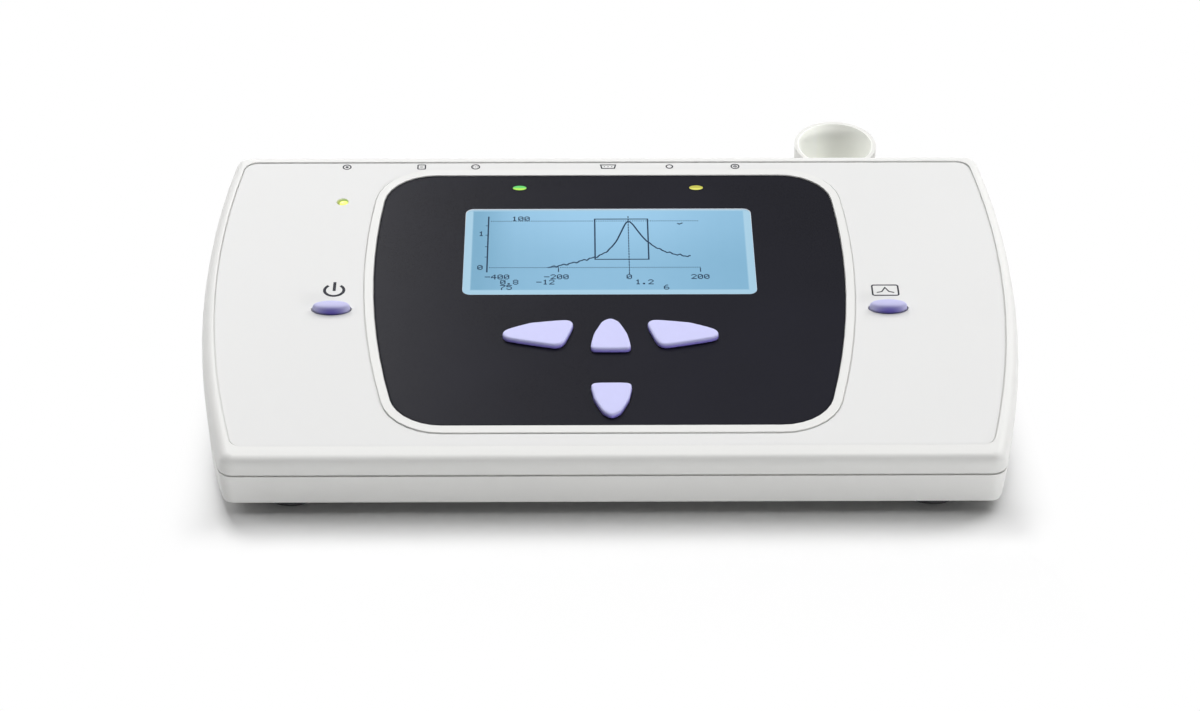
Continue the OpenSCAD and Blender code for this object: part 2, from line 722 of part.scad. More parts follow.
// Flat links between the boards under the cover, and the wires of the jack and the motor.
module flex_step(from, drop) {
  cube([from, 8, 0.3]);
  translate([from - 0.3, 0, -drop]) cube([0.3, 8, drop + 0.3]);
  translate([from - 0.3, 0, -drop]) cube([from, 8, 0.3]);
}

module flex_links() color("#D98E2B") tilt() {
  drop = lcd_level - key_level;
  for (s = [0, 1]) mirror([s, 0, 0]) translate([10 - oval_x, lcd_front, -key_level - board_skin - 0.3])
    flex_step((oval_x - lcd_width / 2 - 18.5) / 2, drop);
  translate([-4, pad_rear - 4.5, -key_level - board_skin - 0.3]) mirror([1, 0, 0]) rotate(90)
    flex_step((lcd_front - pad_rear + 7) / 2, drop);
}

module lead_wires() color("#B03A34") ground() {
  for (s = [-1, 1])
    let (x = power_x + s * 1.5, y = notch_y + 3.5 + s * 1.5)
    hose([[x, plate_y - 17.7, port_z], [x, y, 20], [-79.6, y, board_top + 2.6]], 0.7);
  for (s = [-1, 1])
    let (x = pump_x + 7.5 + s, y = pump_y - 19.25 - s * 1.25, z = pump_z - 3.5 - s * 0.5)
    hose([[x, pump_y - 13.2 - s * 0.2, z], [x, y, board_top + 1.4], [-60, y, board_top + 1.4],
      [-56.1, y, board_top + 2.2]], 0.7);
}

// Rear plate and connectors
module plate_hole(x, z, radius) {
  translate([x, plate_y - 1, z]) rotate([-90, 0, 0]) cylinder(r = radius, h = plate_skin + 2);
}

module rear_panel() color("#D9D9D5") ground() difference() {
  translate([plate_left, plate_y, board_top - 3]) cube([plate_width, plate_skin, 34]);
  plate_hole(power_x, port_z, power_radius + panel_gap);
  translate([data_x - 6 - panel_gap, plate_y - 1, board_top - 2 * panel_gap])
    cube([12 + 2 * panel_gap, 5, 11.2 + 4 * panel_gap]);
  plate_hole(printer_x, socket_z, printer_radius + panel_gap);
  translate([probe_x - 8.9, plate_y - 1, socket_z - 4.7]) cube([17.8, 5, 9.4]);
  for (s = [-1, 1]) plate_hole(probe_x + s * post_half, socket_z, post_radius + 0.6);
  plate_hole(air_x, port_z, air_radius + panel_gap);
  plate_hole(contra_x, socket_z, contra_radius + panel_gap);
}

module power_jack() color("#232427") ground() translate([power_x, plate_y, port_z]) rotate([-90, 0, 0])
  difference() {
    union() {
      cylinder(r = power_radius, h = 4.2);
      translate([0, 0, -14]) cylinder(r = 6.5, h = 13.95);
      translate([-2.5, -1, -17]) cube([1, 2, 3.2]);
      translate([1.5, -1, -17]) cube([1, 2, 3.2]);
    }
    difference() {
      translate([0, 0, -8]) cylinder(r = 3.05, h = 20);
      translate([0, 0, -9]) cylinder(r = 1, h = 8.6);
    }
  }

module power_nut() color("#C9CBCE") ground()
  translate([power_x, plate_y + plate_skin, port_z]) rotate([-90, 0, 0]) difference() {
    cylinder(r = 7.4, h = 2, $fn = 6);
    translate([0, 0, -1]) cylinder(r = power_radius + thread_gap, h = 5);
  }

module usb_socket() color("#B4B7BB") ground() translate([data_x, 0, board_top]) difference() {
  translate([-6, plate_y - 14, 0]) cube([12, 17, 11.2]);
  difference() {
    translate([-4.3, plate_y - 6, 1.5]) cube([8.6, 20, 8]);
    translate([-2.8, plate_y - 7, 4]) cube([5.6, 6, 3.1]);
  }
}

module printer_socket() color("#2A2B2E") ground() translate([printer_x, plate_y, socket_z])
  difference() {
    union() {
      translate([-7, -13, -6.9 - 0.1]) cube([14, 12.9, 13.6]);
      translate([0, -1, 0]) rotate([-90, 0, 0]) cylinder(r = printer_radius, h = 4);
    }
    difference() {
      translate([0, -6, 0]) rotate([-90, 0, 0]) cylinder(r = 4.8, h = 20);
      translate([-1.1, -7, -1.6]) cube([2.2, 5.4, 2]);
    }
  }

module probe_socket() color("#B4B7BB") ground() translate([probe_x, plate_y, socket_z])
  difference() {
    union() {
      translate([-15.3, -1.2, -6.2]) cube([30.6, 1.1, 12.4]);
      translate([-15.3, -12, -7]) cube([30.6, 10.8, 12]);
      translate([0, -1, 0]) rotate([90, 0, 0]) mirror([0, 0, 1]) linear_extrude(6)
        polygon([[-8.4, 4.2], [8.4, 4.2], [7, -4.2], [-7, -4.2]]);
    }
    difference() {
      translate([0, -1, 0]) rotate([90, 0, 0]) mirror([0, 0, 1]) linear_extrude(8)
        polygon([[-7.9, 3.8], [7.9, 3.8], [6.6, -3.8], [-6.6, -3.8]]);
      translate([0, -2, 0]) rotate([90, 0, 0]) mirror([0, 0, 1]) linear_extrude(2.4)
        polygon([[-7, 3], [7, 3], [5.8, -3], [-5.8, -3]]);
    }
  }

module probe_posts() color("#C9CBCE") ground() for (s = [-1, 1])
  translate([probe_x + s * post_half, plate_y - 0.1, socket_z]) rotate([-90, 0, 0]) difference() {
    union() {
      cylinder(r = post_radius, h = plate_skin + 0.2);
      translate([0, 0, plate_skin + 0.1]) cylinder(r = 2.7, h = 4, $fn = 6);
    }
    translate([0, 0, 1.5]) cylinder(r = 1.3, h = 8);
  }

module air_port() color("#E4E6E8") ground() translate([air_x, plate_y, port_z]) rotate([-90, 0, 0])
  difference() {
    union() {
      translate([0, 0, -3.2]) cylinder(r = air_radius, h = 6);
      translate([0, 0, plate_skin]) cylinder(r = 4.6, h = 2);
      translate([0, 0, plate_skin]) cylinder(r = 2.5, h = 12);
      translate([0, 0, -8]) cylinder(r = 1.45, h = 9);
    }
    translate([0, 0, -9]) cylinder(r = 0.9, h = 30);
  }

module air_nut() color("#C9CBCE") ground() translate([air_x, plate_y - 2.2, port_z])
  rotate([-90, 0, 0]) difference() {
    cylinder(r = 4.6, h = 2.2, $fn = 6);
    translate([0, 0, -1]) cylinder(r = air_radius + thread_gap, h = 5);
  }

module contra_jack() color("#232427") ground() translate([contra_x, plate_y, socket_z])
  difference() {
    union() {
      translate([-8, -22, -7]) cube([16, 22, 13.6]);
      translate([0, -1, 0]) rotate([-90, 0, 0]) cylinder(r = contra_radius, h = 7);
    }
    translate([0, -20, 0]) rotate([-90, 0, 0]) cylinder(r = 3.3, h = 40);
  }

module contra_nut() color("#C9CBCE") ground()
  translate([contra_x, plate_y + plate_skin, socket_z]) rotate([-90, 0, 0]) difference() {
    cylinder(r = 6.4, h = 2, $fn = 6);
    translate([0, 0, -1]) cylinder(r = contra_radius + thread_gap, h = 5);
  }

// Pump: a stepping motor turns the screw and the screw drives the piston along the barrel.
pump_x = pump_side - half_width;
flange_half = ear_half - 1.6;
motor_len = 13;
motor_end = pump_x + motor_len;
piston_start = motor_end + 6.5;
piston_front = piston_start + 27.5;
screw_end = piston_front - 4;
barrel_start = motor_end + 10;
barrel_end = piston_front + pump_stroke + 2;

module along_x(x) {
  translate([x, pump_y, pump_z]) rotate([0, 90, 0]) children();
}

module pump_motor() color("#A7A9AD") ground() difference() {
  union() {
    along_x(pump_x) cylinder(r = 12, h = motor_len);
    along_x(motor_end) cylinder(r = 3.5, h = 1.9);
    translate([motor_end - 0.8, pump_y - 3, pump_z - ear_half]) cube([0.8, 6, 2 * ear_half]);
  }
  along_x(pump_x - 1) cylinder(r = 2 + run_gap, h = 60);
  for (s = [-1, 1]) translate([motor_end - 5, pump_y, pump_z + s * (ear_half - 1.4)]) rotate([0, 90, 0])
    cylinder(r = 0.8 + thread_gap, h = 10);
}

module pump_screw() color("#C8CACD") ground() along_x(pump_x + 1)
  cylinder(r = 2, h = screw_end - pump_x - 1);

module pump_piston() color("#F2F2EE") ground() difference() {
  union() {
    along_x(piston_start) cylinder(r = 4.5, h = piston_front - piston_start - 1);
    difference() {
      along_x(piston_front - 8) cylinder(r = bore_radius - run_gap, h = 8);
      along_x(piston_front - 5.5) difference() {
        cylinder(r = bore_radius + 1, h = seal_width);
        translate([0, 0, -1]) cylinder(r = bore_radius - 0.9, h = seal_width + 2);
      }
    }
  }
  along_x(piston_start - 1) cylinder(r = 2 + run_gap, h = screw_end - piston_start + 2);
}

module piston_seal() color("#2B2B2D") ground() along_x(piston_front - 5.5) difference() {
  cylinder(r = bore_radius - run_gap / 2, h = seal_width);
  translate([0, 0, -1]) cylinder(r = bore_radius - 0.9, h = seal_width + 2);
}

module pump_barrel() color("#DCE6EC") ground() difference() {
  union() {
    along_x(barrel_start) cylinder(r = bore_radius + 2, h = barrel_end - barrel_start);
    translate([barrel_start, pump_y - 13, pump_z - flange_half]) cube([3, 26, flange_half + 10.5]);
    along_x(barrel_end) cylinder(r = 1.45, h = 8);
  }
  along_x(barrel_start - 1) cylinder(r = bore_radius, h = barrel_end - barrel_start - 0.5);
  along_x(barrel_end - 4) cylinder(r = 0.9, h = 20);
  flange_spots() cylinder(r = 1 + thread_gap, h = 6);
}

module pump_bracket() color("#B9BCC0") ground() difference() {
  union() {
    translate([motor_end, pump_y - 14, tray_floor]) cube([2, 28, pump_z + 15 - tray_floor]);
    translate([barrel_start - 2, pump_y - 14, tray_floor]) cube([2, 28, pump_z + 10 - tray_floor]);
    translate([motor_end - 8, pump_y - 14, tray_floor]) cube([34, 28, 2]);
  }
  along_x(motor_end - 1) cylinder(r = 6.5, h = 20);
  flange_spots() cylinder(r = 1 + thread_gap, h = 6);
  for (s = [-1, 1]) translate([motor_end - 5, pump_y, pump_z + s * (ear_half - 1.4)]) rotate([0, 90, 0])
    cylinder(r = 0.8 + thread_gap, h = 10);
  bracket_spots() cylinder(r = 1 + thread_gap, h = 10);
}

// Screws of the pump: barrel flange, motor ears and the bracket on the tray floor.
module flange_spots() {
  for (s = [-1, 1]) translate([barrel_start - 3, pump_y + s * 11, pump_z - flange_half + 2.2])
    rotate([0, 90, 0]) children();
}

module bracket_spots() {
  for (x = [motor_end - 5.5, motor_end + 23.5], s = [-1, 1])
    translate([x, pump_y + s * 11.5, tray_floor - 1.9]) children();
}

module pump_bolts() color("#C9CBCE") ground() {
  flange_spots() {
    cylinder(r = 1, h = 6);
    translate([0, 0, 6]) cylinder(r = 1.8, h = 1.3);
  }
  bracket_spots() {
    cylinder(r = 1, h = 3.9);
    translate([0, 0, 3.9]) cylinder(r = 1.8, h = 1.3);
  }
  for (s = [-1, 1]) translate([motor_end - 2.1, pump_y, pump_z + s * (ear_half - 1.4)]) rotate([0, 90, 0]) {
    cylinder(r = 1.1, h = 1.3);
    cylinder(r = 0.8, h = 4.1);
  }
}

// Air side: manifold, sensor, valve and hoses.
module air_manifold() color("#D8DDE2") ground() difference() {
  union() {
    translate([6, pump_y - 8, board_top]) cube([34, 20, 16]);
    along_x(-2) cylinder(r = 1.45, h = 9);
    translate([air_x, pump_y + 11, port_z]) rotate([-90, 0, 0]) cylinder(r = 1.45, h = 8);
  }
  along_x(-3) cylinder(r = 0.9, h = 40);
  translate([air_x, pump_y - 2, port_z]) rotate([-90, 0, 0]) cylinder(r = 0.9, h = 25);
}

module pressure_sensor() color("#3A4A66") ground() {
  translate([10, pump_y - 5, board_top + 16]) cube([12, 12, 5]);
  for (i = [0 : 3]) translate([11.4 + i * 2.8, pump_y + 7, board_top + 17]) cube([0.6, 2.5, 0.4]);
}

module vent_valve() color("#8A8D92") ground() {
  translate([40, pump_y - 4, board_top + 1]) cube([3, 12, 13]);
  translate([43, pump_y + 2, board_top + 7.5]) rotate([0, 90, 0]) cylinder(r = 6, h = 18);
}

module hose_link(p, q, radius) {
  d = q - p;
  translate(p) rotate([0, acos(d[2] / norm(d)), atan2(d[1], d[0])]) cylinder(r = radius, h = norm(d));
}

module hose(points, radius) {
  for (i = [0 : len(points) - 2]) hose_link(points[i], points[i + 1], radius);
  for (i = [1 : len(points) - 2]) translate(points[i]) sphere(r = radius);
}

module air_tubing() color("#D9CFA8") ground() {
  along_x(barrel_end + 0.2) difference() {
    cylinder(r = 2.5, h = 5.6 - barrel_end);
    translate([0, 0, -1]) cylinder(r = hose_bore, h = 9 - barrel_end);
  }
  translate([air_x, pump_y + 12.2, port_z]) rotate([-90, 0, 0]) difference() {
    cylinder(r = 2.5, h = plate_y - pump_y - 15.6);
    translate([0, 0, -1]) cylinder(r = hose_bore, h = plate_y - pump_y);
  }
}

// Cup that holds the probe at the back of the case.
module probe_holder() color("#ECECE8") difference() {
  ground() union() {
    translate([cup_x, cup_y, cup_foot]) cylinder(r = cup_out, h = 50);
    translate([cup_x - holder_half - 4.5, body_depth, holder_z - 10])
      cube([2 * holder_half + 9, 2.5, 20]);
    for (s = [-1, 1]) translate([cup_x + s * 9 - 1.25, body_depth + 1, 22]) cube([2.5, 12, 28]);
  }
  ground() {
    translate([cup_x, cup_y, cup_foot + 2]) cylinder(r = cup_radius, h = 60);
    for (s = [-1, 1]) translate([cup_x + s * holder_half, body_depth - 5, holder_z]) rotate([-90, 0, 0])
      cylinder(r = 1.5, h = 30);
  }
  above(cup_drop);
}

module holder_screws() color("#B9BBBE") ground() for (s = [-1, 1])
  translate([cup_x + s * holder_half, body_depth + 2.5, holder_z]) rotate([90, 0, 0]) difference() {
    union() {
      translate([0, 0, -1.6]) cylinder(r = 2.4, h = 1.6);
      cylinder(r = 1.2, h = 2.5 + wall + 3);
    }
    driver_slot(2.4, 1.6);
  }

// Draw list
top_cover();
base_tray();
rear_panel();
side_overlay();
fascia_label();
display_window();
led_power();
led_left();
led_right();
key_power();
key_mode();
key_left();
key_right();
key_up();
key_down();
keypad_mats();
key_board();
side_boards();
lcd_glass();
lcd_backlight();
lcd_frame();
lcd_board();
cover_screws();
flex_links();
flat_cable();
lead_wires();
main_board();
board_chips();
board_capacitors();
coin_cell();
board_screws();
power_jack();
power_nut();
usb_socket();
printer_socket();
probe_socket();
probe_posts();
air_port();
air_nut();
contra_jack();
contra_nut();
pump_bracket();
pump_bolts();
pump_motor();
pump_screw();
pump_piston();
piston_seal();
pump_barrel();
air_manifold();
pressure_sensor();
vent_valve();
air_tubing();
probe_holder();
holder_screws();
case_screws();
rubber_feet();
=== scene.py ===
"""Looks of a desktop tympanometer: its finishes, printed marks, display, contacts, light and camera."""
import logging
import math
from dataclasses import dataclass, field
from enum import Enum
from typing import Any, Sequence

import bpy
from mathutils import Matrix, Vector


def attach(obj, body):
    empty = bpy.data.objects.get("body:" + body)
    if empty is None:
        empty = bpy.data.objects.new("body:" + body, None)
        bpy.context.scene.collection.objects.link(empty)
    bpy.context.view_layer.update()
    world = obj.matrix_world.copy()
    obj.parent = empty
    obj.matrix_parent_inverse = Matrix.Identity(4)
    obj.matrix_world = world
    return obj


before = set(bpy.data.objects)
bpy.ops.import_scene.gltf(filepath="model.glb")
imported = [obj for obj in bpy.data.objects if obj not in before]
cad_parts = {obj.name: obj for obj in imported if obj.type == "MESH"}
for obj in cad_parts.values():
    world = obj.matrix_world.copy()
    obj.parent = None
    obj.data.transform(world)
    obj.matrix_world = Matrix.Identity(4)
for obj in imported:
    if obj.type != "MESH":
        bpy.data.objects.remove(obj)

LOG = logging.getLogger("tympanometer")
MM = 0.001
CASE = "case"
Colour = tuple[float, float, float]
Flat = tuple[float, float]

# Upper side of the printed films above the top surface, and the lift of the print on them, in millimetres.
FILM = -0.35
LIFT = 0.004

# Cells per metre of the moulded grain and of the broad clouds of tone, and what each adds to the roughness.
GRAIN = 2600.0
CLOUDS = 16.0
GRAIN_GLOSS = 0.16
CLOUD_GLOSS = 0.08

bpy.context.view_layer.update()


# Shader maths


@dataclass(frozen=True)
class Signal:
    """A number on a socket, with arithmetic that adds Math nodes.

    Args:
        tree: the shader tree that holds the socket.
        socket: the output socket that carries the number.
    """

    tree: "Shader"
    socket: bpy.types.NodeSocket

    def math(self, operation: str, *values: Any) -> "Signal":
        """A Math node over the given values.

        Args:
            operation: the node's operation.
            values: signals or numbers, in socket order.

        Returns:
            The node's result.
        """
        node = self.tree.add("ShaderNodeMath", {"operation": operation}, dict(enumerate(values)))
        return Signal(self.tree, node.outputs[0])

    def __add__(self, other: Any) -> "Signal":
        """Sum."""
        return self.math("ADD", self, other)

    def __sub__(self, other: Any) -> "Signal":
        """Difference."""
        return self.math("SUBTRACT", self, other)

    def __rsub__(self, other: Any) -> "Signal":
        """Reflected difference."""
        return self.math("SUBTRACT", other, self)

    def __mul__(self, other: Any) -> "Signal":
        """Product."""
        return self.math("MULTIPLY", self, other)

    __radd__ = __add__
    __rmul__ = __mul__

    def __abs__(self) -> "Signal":
        """Absolute value."""
        return self.math("ABSOLUTE", self)

    def rise(self, low: float, high: float) -> "Signal":
        """0 below low, 1 above high and a smooth step between them.

        Args:
            low: where the step starts.
            high: where it ends.

        Returns:
            The step.
        """
        node = self.tree.add(
            "ShaderNodeMapRange",
            {"interpolation_type": "SMOOTHSTEP"},
            {"Value": self, "From Min": low, "From Max": high},
        )
        return Signal(self.tree, node.outputs["Result"])

    def larger(self, other: Any) -> "Signal":
        """The larger of two numbers."""
        return self.math("MAXIMUM", self, other)


class Shader:
    """One material under construction, around a Principled shader.

    Args:
        name: the material's name.
    """

    def __init__(self, name: str) -> None:
        """Starts an empty material with its shader and output."""
        self.material = bpy.data.materials.new(name)
        self.material.use_nodes = True
        self.tree = self.material.node_tree
        self.tree.nodes.clear()
        self.body = self.add("ShaderNodeBsdfPrincipled")
        self.output = self.add("ShaderNodeOutputMaterial", None, {"Surface": self.body.outputs[0]})
        self.place = self.add("ShaderNodeTexCoord").outputs["Object"]

    def add(self, kind: str, settings: dict[str, Any] | None = None, inputs: dict | None = None) -> Any:
        """Adds a node.

        Args:
            kind: the node's type.
            settings: the node's own attributes, set before its sockets.
            inputs: values or links by socket name or number.

        Returns:
            The node.
        """
        node = self.tree.nodes.new(kind)
        for key, value in (settings or {}).items():
            setattr(node, key, value)
        for key, value in (inputs or {}).items():
            self.feed(node.inputs[key], value)
        return node

    def feed(self, socket: bpy.types.NodeSocket, value: Any) -> None:
        """Links or sets one socket.

        Args:
            socket: the input.
            value: a signal, an output socket, a colour or a number.
        """
        if isinstance(value, Signal):
            self.tree.links.new(value.socket, socket)
        elif isinstance(value, bpy.types.NodeSocket):
            self.tree.links.new(value, socket)
        elif isinstance(value, tuple) and len(value) == 3 and socket.type == "RGBA":
            socket.default_value = (*value, 1.0)
        else:
            socket.default_value = value

    def noise(self, scale: float, detail: float = 2.0, stretch: Sequence[float] = (1, 1, 1)) -> Signal:
        """Noise in the object's own metres.

        Args:
            scale: cells per metre.
            detail: octaves.
            stretch: factor on each axis.

        Returns:
            A signal round 0.5.
        """
        spot = self.add("ShaderNodeMapping", None, {"Vector": self.place, "Scale": tuple(stretch)})
        cells = {"Vector": spot.outputs[0], "Scale": scale, "Detail": detail}
        return Signal(self, self.add("ShaderNodeTexNoise", None, cells).outputs[0])

    def along(self, direction: Sequence[float], origin: Sequence[float] = (0, 0, 0)) -> Signal:
        """Distance in millimetres along a direction from a point.

        Args:
            direction: unit vector in the row frame.
            origin: the point, in metres.

        Returns:
            The distance.
        """
        kind = "ShaderNodeVectorMath"
        offset = self.add(kind, {"operation": "SUBTRACT"}, {0: self.place, 1: tuple(origin)})
        dot = self.add(kind, {"operation": "DOT_PRODUCT"}, {0: offset.outputs[0], 1: tuple(direction)})
        return Signal(self, dot.outputs["Value"]) * (1 / MM)

    def mix(self, low: Any, high: Any, factor: Any) -> bpy.types.NodeSocket:
        """A colour between two.

        Args:
            low: colour or socket at factor 0.
            high: colour or socket at factor 1.
            factor: signal or number.

        Returns:
            The colour's socket.
        """
        node = self.add("ShaderNodeMix", {"data_type": "RGBA"}, {0: factor, 6: low, 7: high})
        return node.outputs[2]

    def bump(self, height: Signal, depth: float) -> bpy.types.NodeSocket:
        """A normal from a height.

        Args:
            height: signal from 0 to 1.
            depth: metres between 0 and 1.

        Returns:
            The normal's socket.
        """
        return self.add("ShaderNodeBump", None, {"Height": height, "Distance": depth}).outputs[0]

    def dress(self, **sockets: Any) -> bpy.types.Material:
        """Feeds the shader's sockets, with spaces for underscores in their names.

        Returns:
            The finished material.
        """
        for key, value in sockets.items():
            self.feed(self.body.inputs[key.replace("_", " ").title().replace("Ior", "IOR")], value)
        return self.material


def shade(colour: Colour, factor: float) -> Colour:
    """A colour times a factor.

    Args:
        colour: linear red, green and blue.
        factor: brightness.

    Returns:
        The new colour.
    """
    return tuple(min(1.0, part * factor) for part in colour)


# Finishes


@dataclass(frozen=True)
class Moulded:
    """Moulded plastic or rubber with a fine spark-eroded grain."""

    name: str
    colour: Colour
    roughness: float = 0.45
    metallic: float = 0.0
    grain: float = GRAIN
    depth: float = 0.00002
    spread: float = 0.03
    coat: float = 0.0
    specular: float = 0.5
    stretch: Flat | tuple = (1, 1, 1)

    def build(self) -> bpy.types.Material:
        """The material."""
        shader = Shader(self.name)
        fine = shader.noise(self.grain, 3.0, self.stretch)
        broad = shader.noise(CLOUDS)
        tone = (fine * 0.35 + broad * 0.65).rise(0.3, 0.7)
        deep, pale = shade(self.colour, 1 - self.spread), shade(self.colour, 1 + self.spread)
        return shader.dress(
            base_color=shader.mix(deep, pale, tone),
            roughness=(fine - 0.5) * GRAIN_GLOSS + (broad - 0.5) * CLOUD_GLOSS + self.roughness,
            metallic=self.metallic,
            coat_weight=self.coat,
            specular_ior_level=self.specular,
            normal=shader.bump(fine, self.depth),
        )


@dataclass(frozen=True)
class PaintedGlowCup:
    """White plastic cup with painted light in its bore: an emission glow, brighter towards the left and
    right, stands in for the light on its inner wall.
    """

    name: str
    colour: Colour
    roughness: float
    # Painted light in the bore: its colour, middle, radius, dimmest place, spread, right side's share, least
    # level and strength.
    light: Colour = (0.97, 1.0, 0.94)
    axis: Flat = (0.0815, 0.08265)
    bore: float = 13.0
    dim: float = 2.5
    reach: float = 14.0
    right_painted_glow_share: float = 0.6
    least_painted_glow: float = 0.16
    through: float = 0.3

    def build(self) -> bpy.types.Material:
        """The material."""
        shader = Shader(self.name)
        fine = shader.noise(GRAIN, 3.0)
        origin = (*self.axis, 0.0)
        side, deep = shader.along((1, 0, 0), origin), shader.along((0, 1, 0), origin)
        square = side * side + deep * deep
        inside = 1 - square.math("SQRT", square).rise(self.bore + 0.1, self.bore + 0.5)
        # Painted light: the bore glows as emission, least at the dim place and brighter towards the left and
        # right.
        off = side - self.dim
        sides = (0 - off).rise(0.0, self.reach) + off.rise(0.0, self.reach) * self.right_painted_glow_share
        glow = sides + self.least_painted_glow + fine * 0.06
        tone = shader.noise(CLOUDS).rise(0.3, 0.7)
        return shader.dress(
            base_color=shader.mix(shade(self.colour, 0.985), self.colour, tone),
            roughness=(fine - 0.5) * GRAIN_GLOSS + self.roughness,
            emission_color=shader.mix((0.0, 0.0, 0.0), self.light, glow * inside),
            emission_strength=self.through,
            specular_ior_level=0.3,
            normal=shader.bump(fine, 0.000015),
        )


@dataclass(frozen=True)
class Board:
    """Circuit board: solder mask over copper tracks, with tinned pads."""

    name: str
    colour: Colour
    tin: Colour = (0.62, 0.6, 0.52)
    tracks: float = 90.0
    track_width: float = 0.035
    pads: float = 210.0
    pad_edge: Flat = (0.13, 0.17)

    def build(self) -> bpy.types.Material:
        """The material."""
        shader = Shader(self.name)
        bricks = {"Vector": shader.place, "Scale": self.tracks, "Mortar Size": self.track_width}
        track = shader.add("ShaderNodeTexBrick", {"offset": 0.37}, bricks)
        cells = {"Vector": shader.place, "Scale": self.pads}
        pads = shader.add("ShaderNodeTexVoronoi", {"feature": "F1"}, cells)
        dots = 1 - Signal(shader, pads.outputs["Distance"]).rise(*self.pad_edge)
        line = Signal(shader, track.outputs["Fac"]) * 0.8
        mask = shader.mix(self.colour, shade(self.colour, 2.1), line)
        return shader.dress(
            base_color=shader.mix(mask, self.tin, dots),
            roughness=shader.noise(700.0) * 0.1 + 0.3,
            metallic=dots * 0.85,
            coat_weight=0.25,
            normal=shader.bump(line.larger(dots), 0.00004),
        )


@dataclass(frozen=True)
class Silicone:
    """Soft lilac key with painted shade: pale on top, deep violet towards its foot or its front, where the
    colour stands in for shade.
    """

    name: str
    top: Colour
    painted_shade_flank: Colour
    origin: Sequence[float]
    direction: Sequence[float]
    low: float
    high: float

    def build(self) -> bpy.types.Material:
        """The material."""
        shader = Shader(self.name)
        fine = shader.noise(3000.0, 3.0)
        # Painted shade: violet flank below, pale top above, along the given direction.
        pale = shader.along(self.direction, self.origin).rise(self.low, self.high)
        cap = shader.mix(shade(self.top, 0.98), shade(self.top, 1.02), shader.noise(420.0))
        return shader.dress(
            base_color=shader.mix(self.painted_shade_flank, cap, pale),
            roughness=fine * 0.14 + 0.4,
            specular_ior_level=0.22,
            sheen_weight=0.1,
            normal=shader.bump(fine, 0.000012),
        )


@dataclass(frozen=True)
class Lamp:
    """Tinted light guide that glows from inside, also used for the painted highlight on the display window's
    edge.
    """

    name: str
    centre: Colour
    edge: Colour
    strength: float = 0.9
    origin: Sequence[float] = (0, 0, 0)
    direction: Sequence[float] = (0, 1, 0)
    low: float = -1.0
    high: float = 1.0

    def build(self) -> bpy.types.Material:
        """The material."""
        shader = Shader(self.name)
        side = shader.along(self.direction, self.origin).rise(self.low, self.high)
        mottle = shader.noise(1400.0, 2.0) * 0.25
        glow = shader.mix(self.centre, self.edge, (side + mottle).rise(0.1, 1.0))
        return shader.dress(
            base_color=shader.mix((0.0, 0.0, 0.0), glow, 0.45),
            roughness=shader.noise(900.0) * 0.1 + 0.18,
            emission_color=glow,
            emission_strength=self.strength,
            specular_ior_level=0.2,
            coat_weight=0.1,
        )


# Geometry helpers


@dataclass(frozen=True)
class TopPlane:
    """The sloping top surface. u runs right, v back and n out of it, in millimetres."""

    slope: float = 14.0
    rear_y: float = 65.85
    rear_z: float = 60.0

    @property
    def normal(self) -> Vector:
        """Outward normal of the top surface."""
        angle = math.radians(self.slope)
        return Vector((0.0, -math.sin(angle), math.cos(angle)))

    @property
    def back(self) -> Vector:
        """Direction up the slope."""
        angle = math.radians(self.slope)
        return Vector((0.0, math.cos(angle), math.sin(angle)))

    def at(self, u: float, v: float, n: float = 0.0) -> Vector:
        """A point of the row frame, in metres.

        Args:
            u: millimetres to the right.
            v: millimetres from the rear edge, negative towards the front.
            n: millimetres above the surface.

        Returns:
            The point.
        """
        base = Vector((u, self.rear_y, self.rear_z))
        return (base + self.back * v + self.normal * n) * MM

    def place(self, point: Vector) -> tuple[float, float, float]:
        """The u, v and n of a point of the row frame, in millimetres."""
        off = point / MM - Vector((0.0, self.rear_y, self.rear_z))
        return off.x, off.dot(self.back), off.dot(self.normal)


TOP = TopPlane()


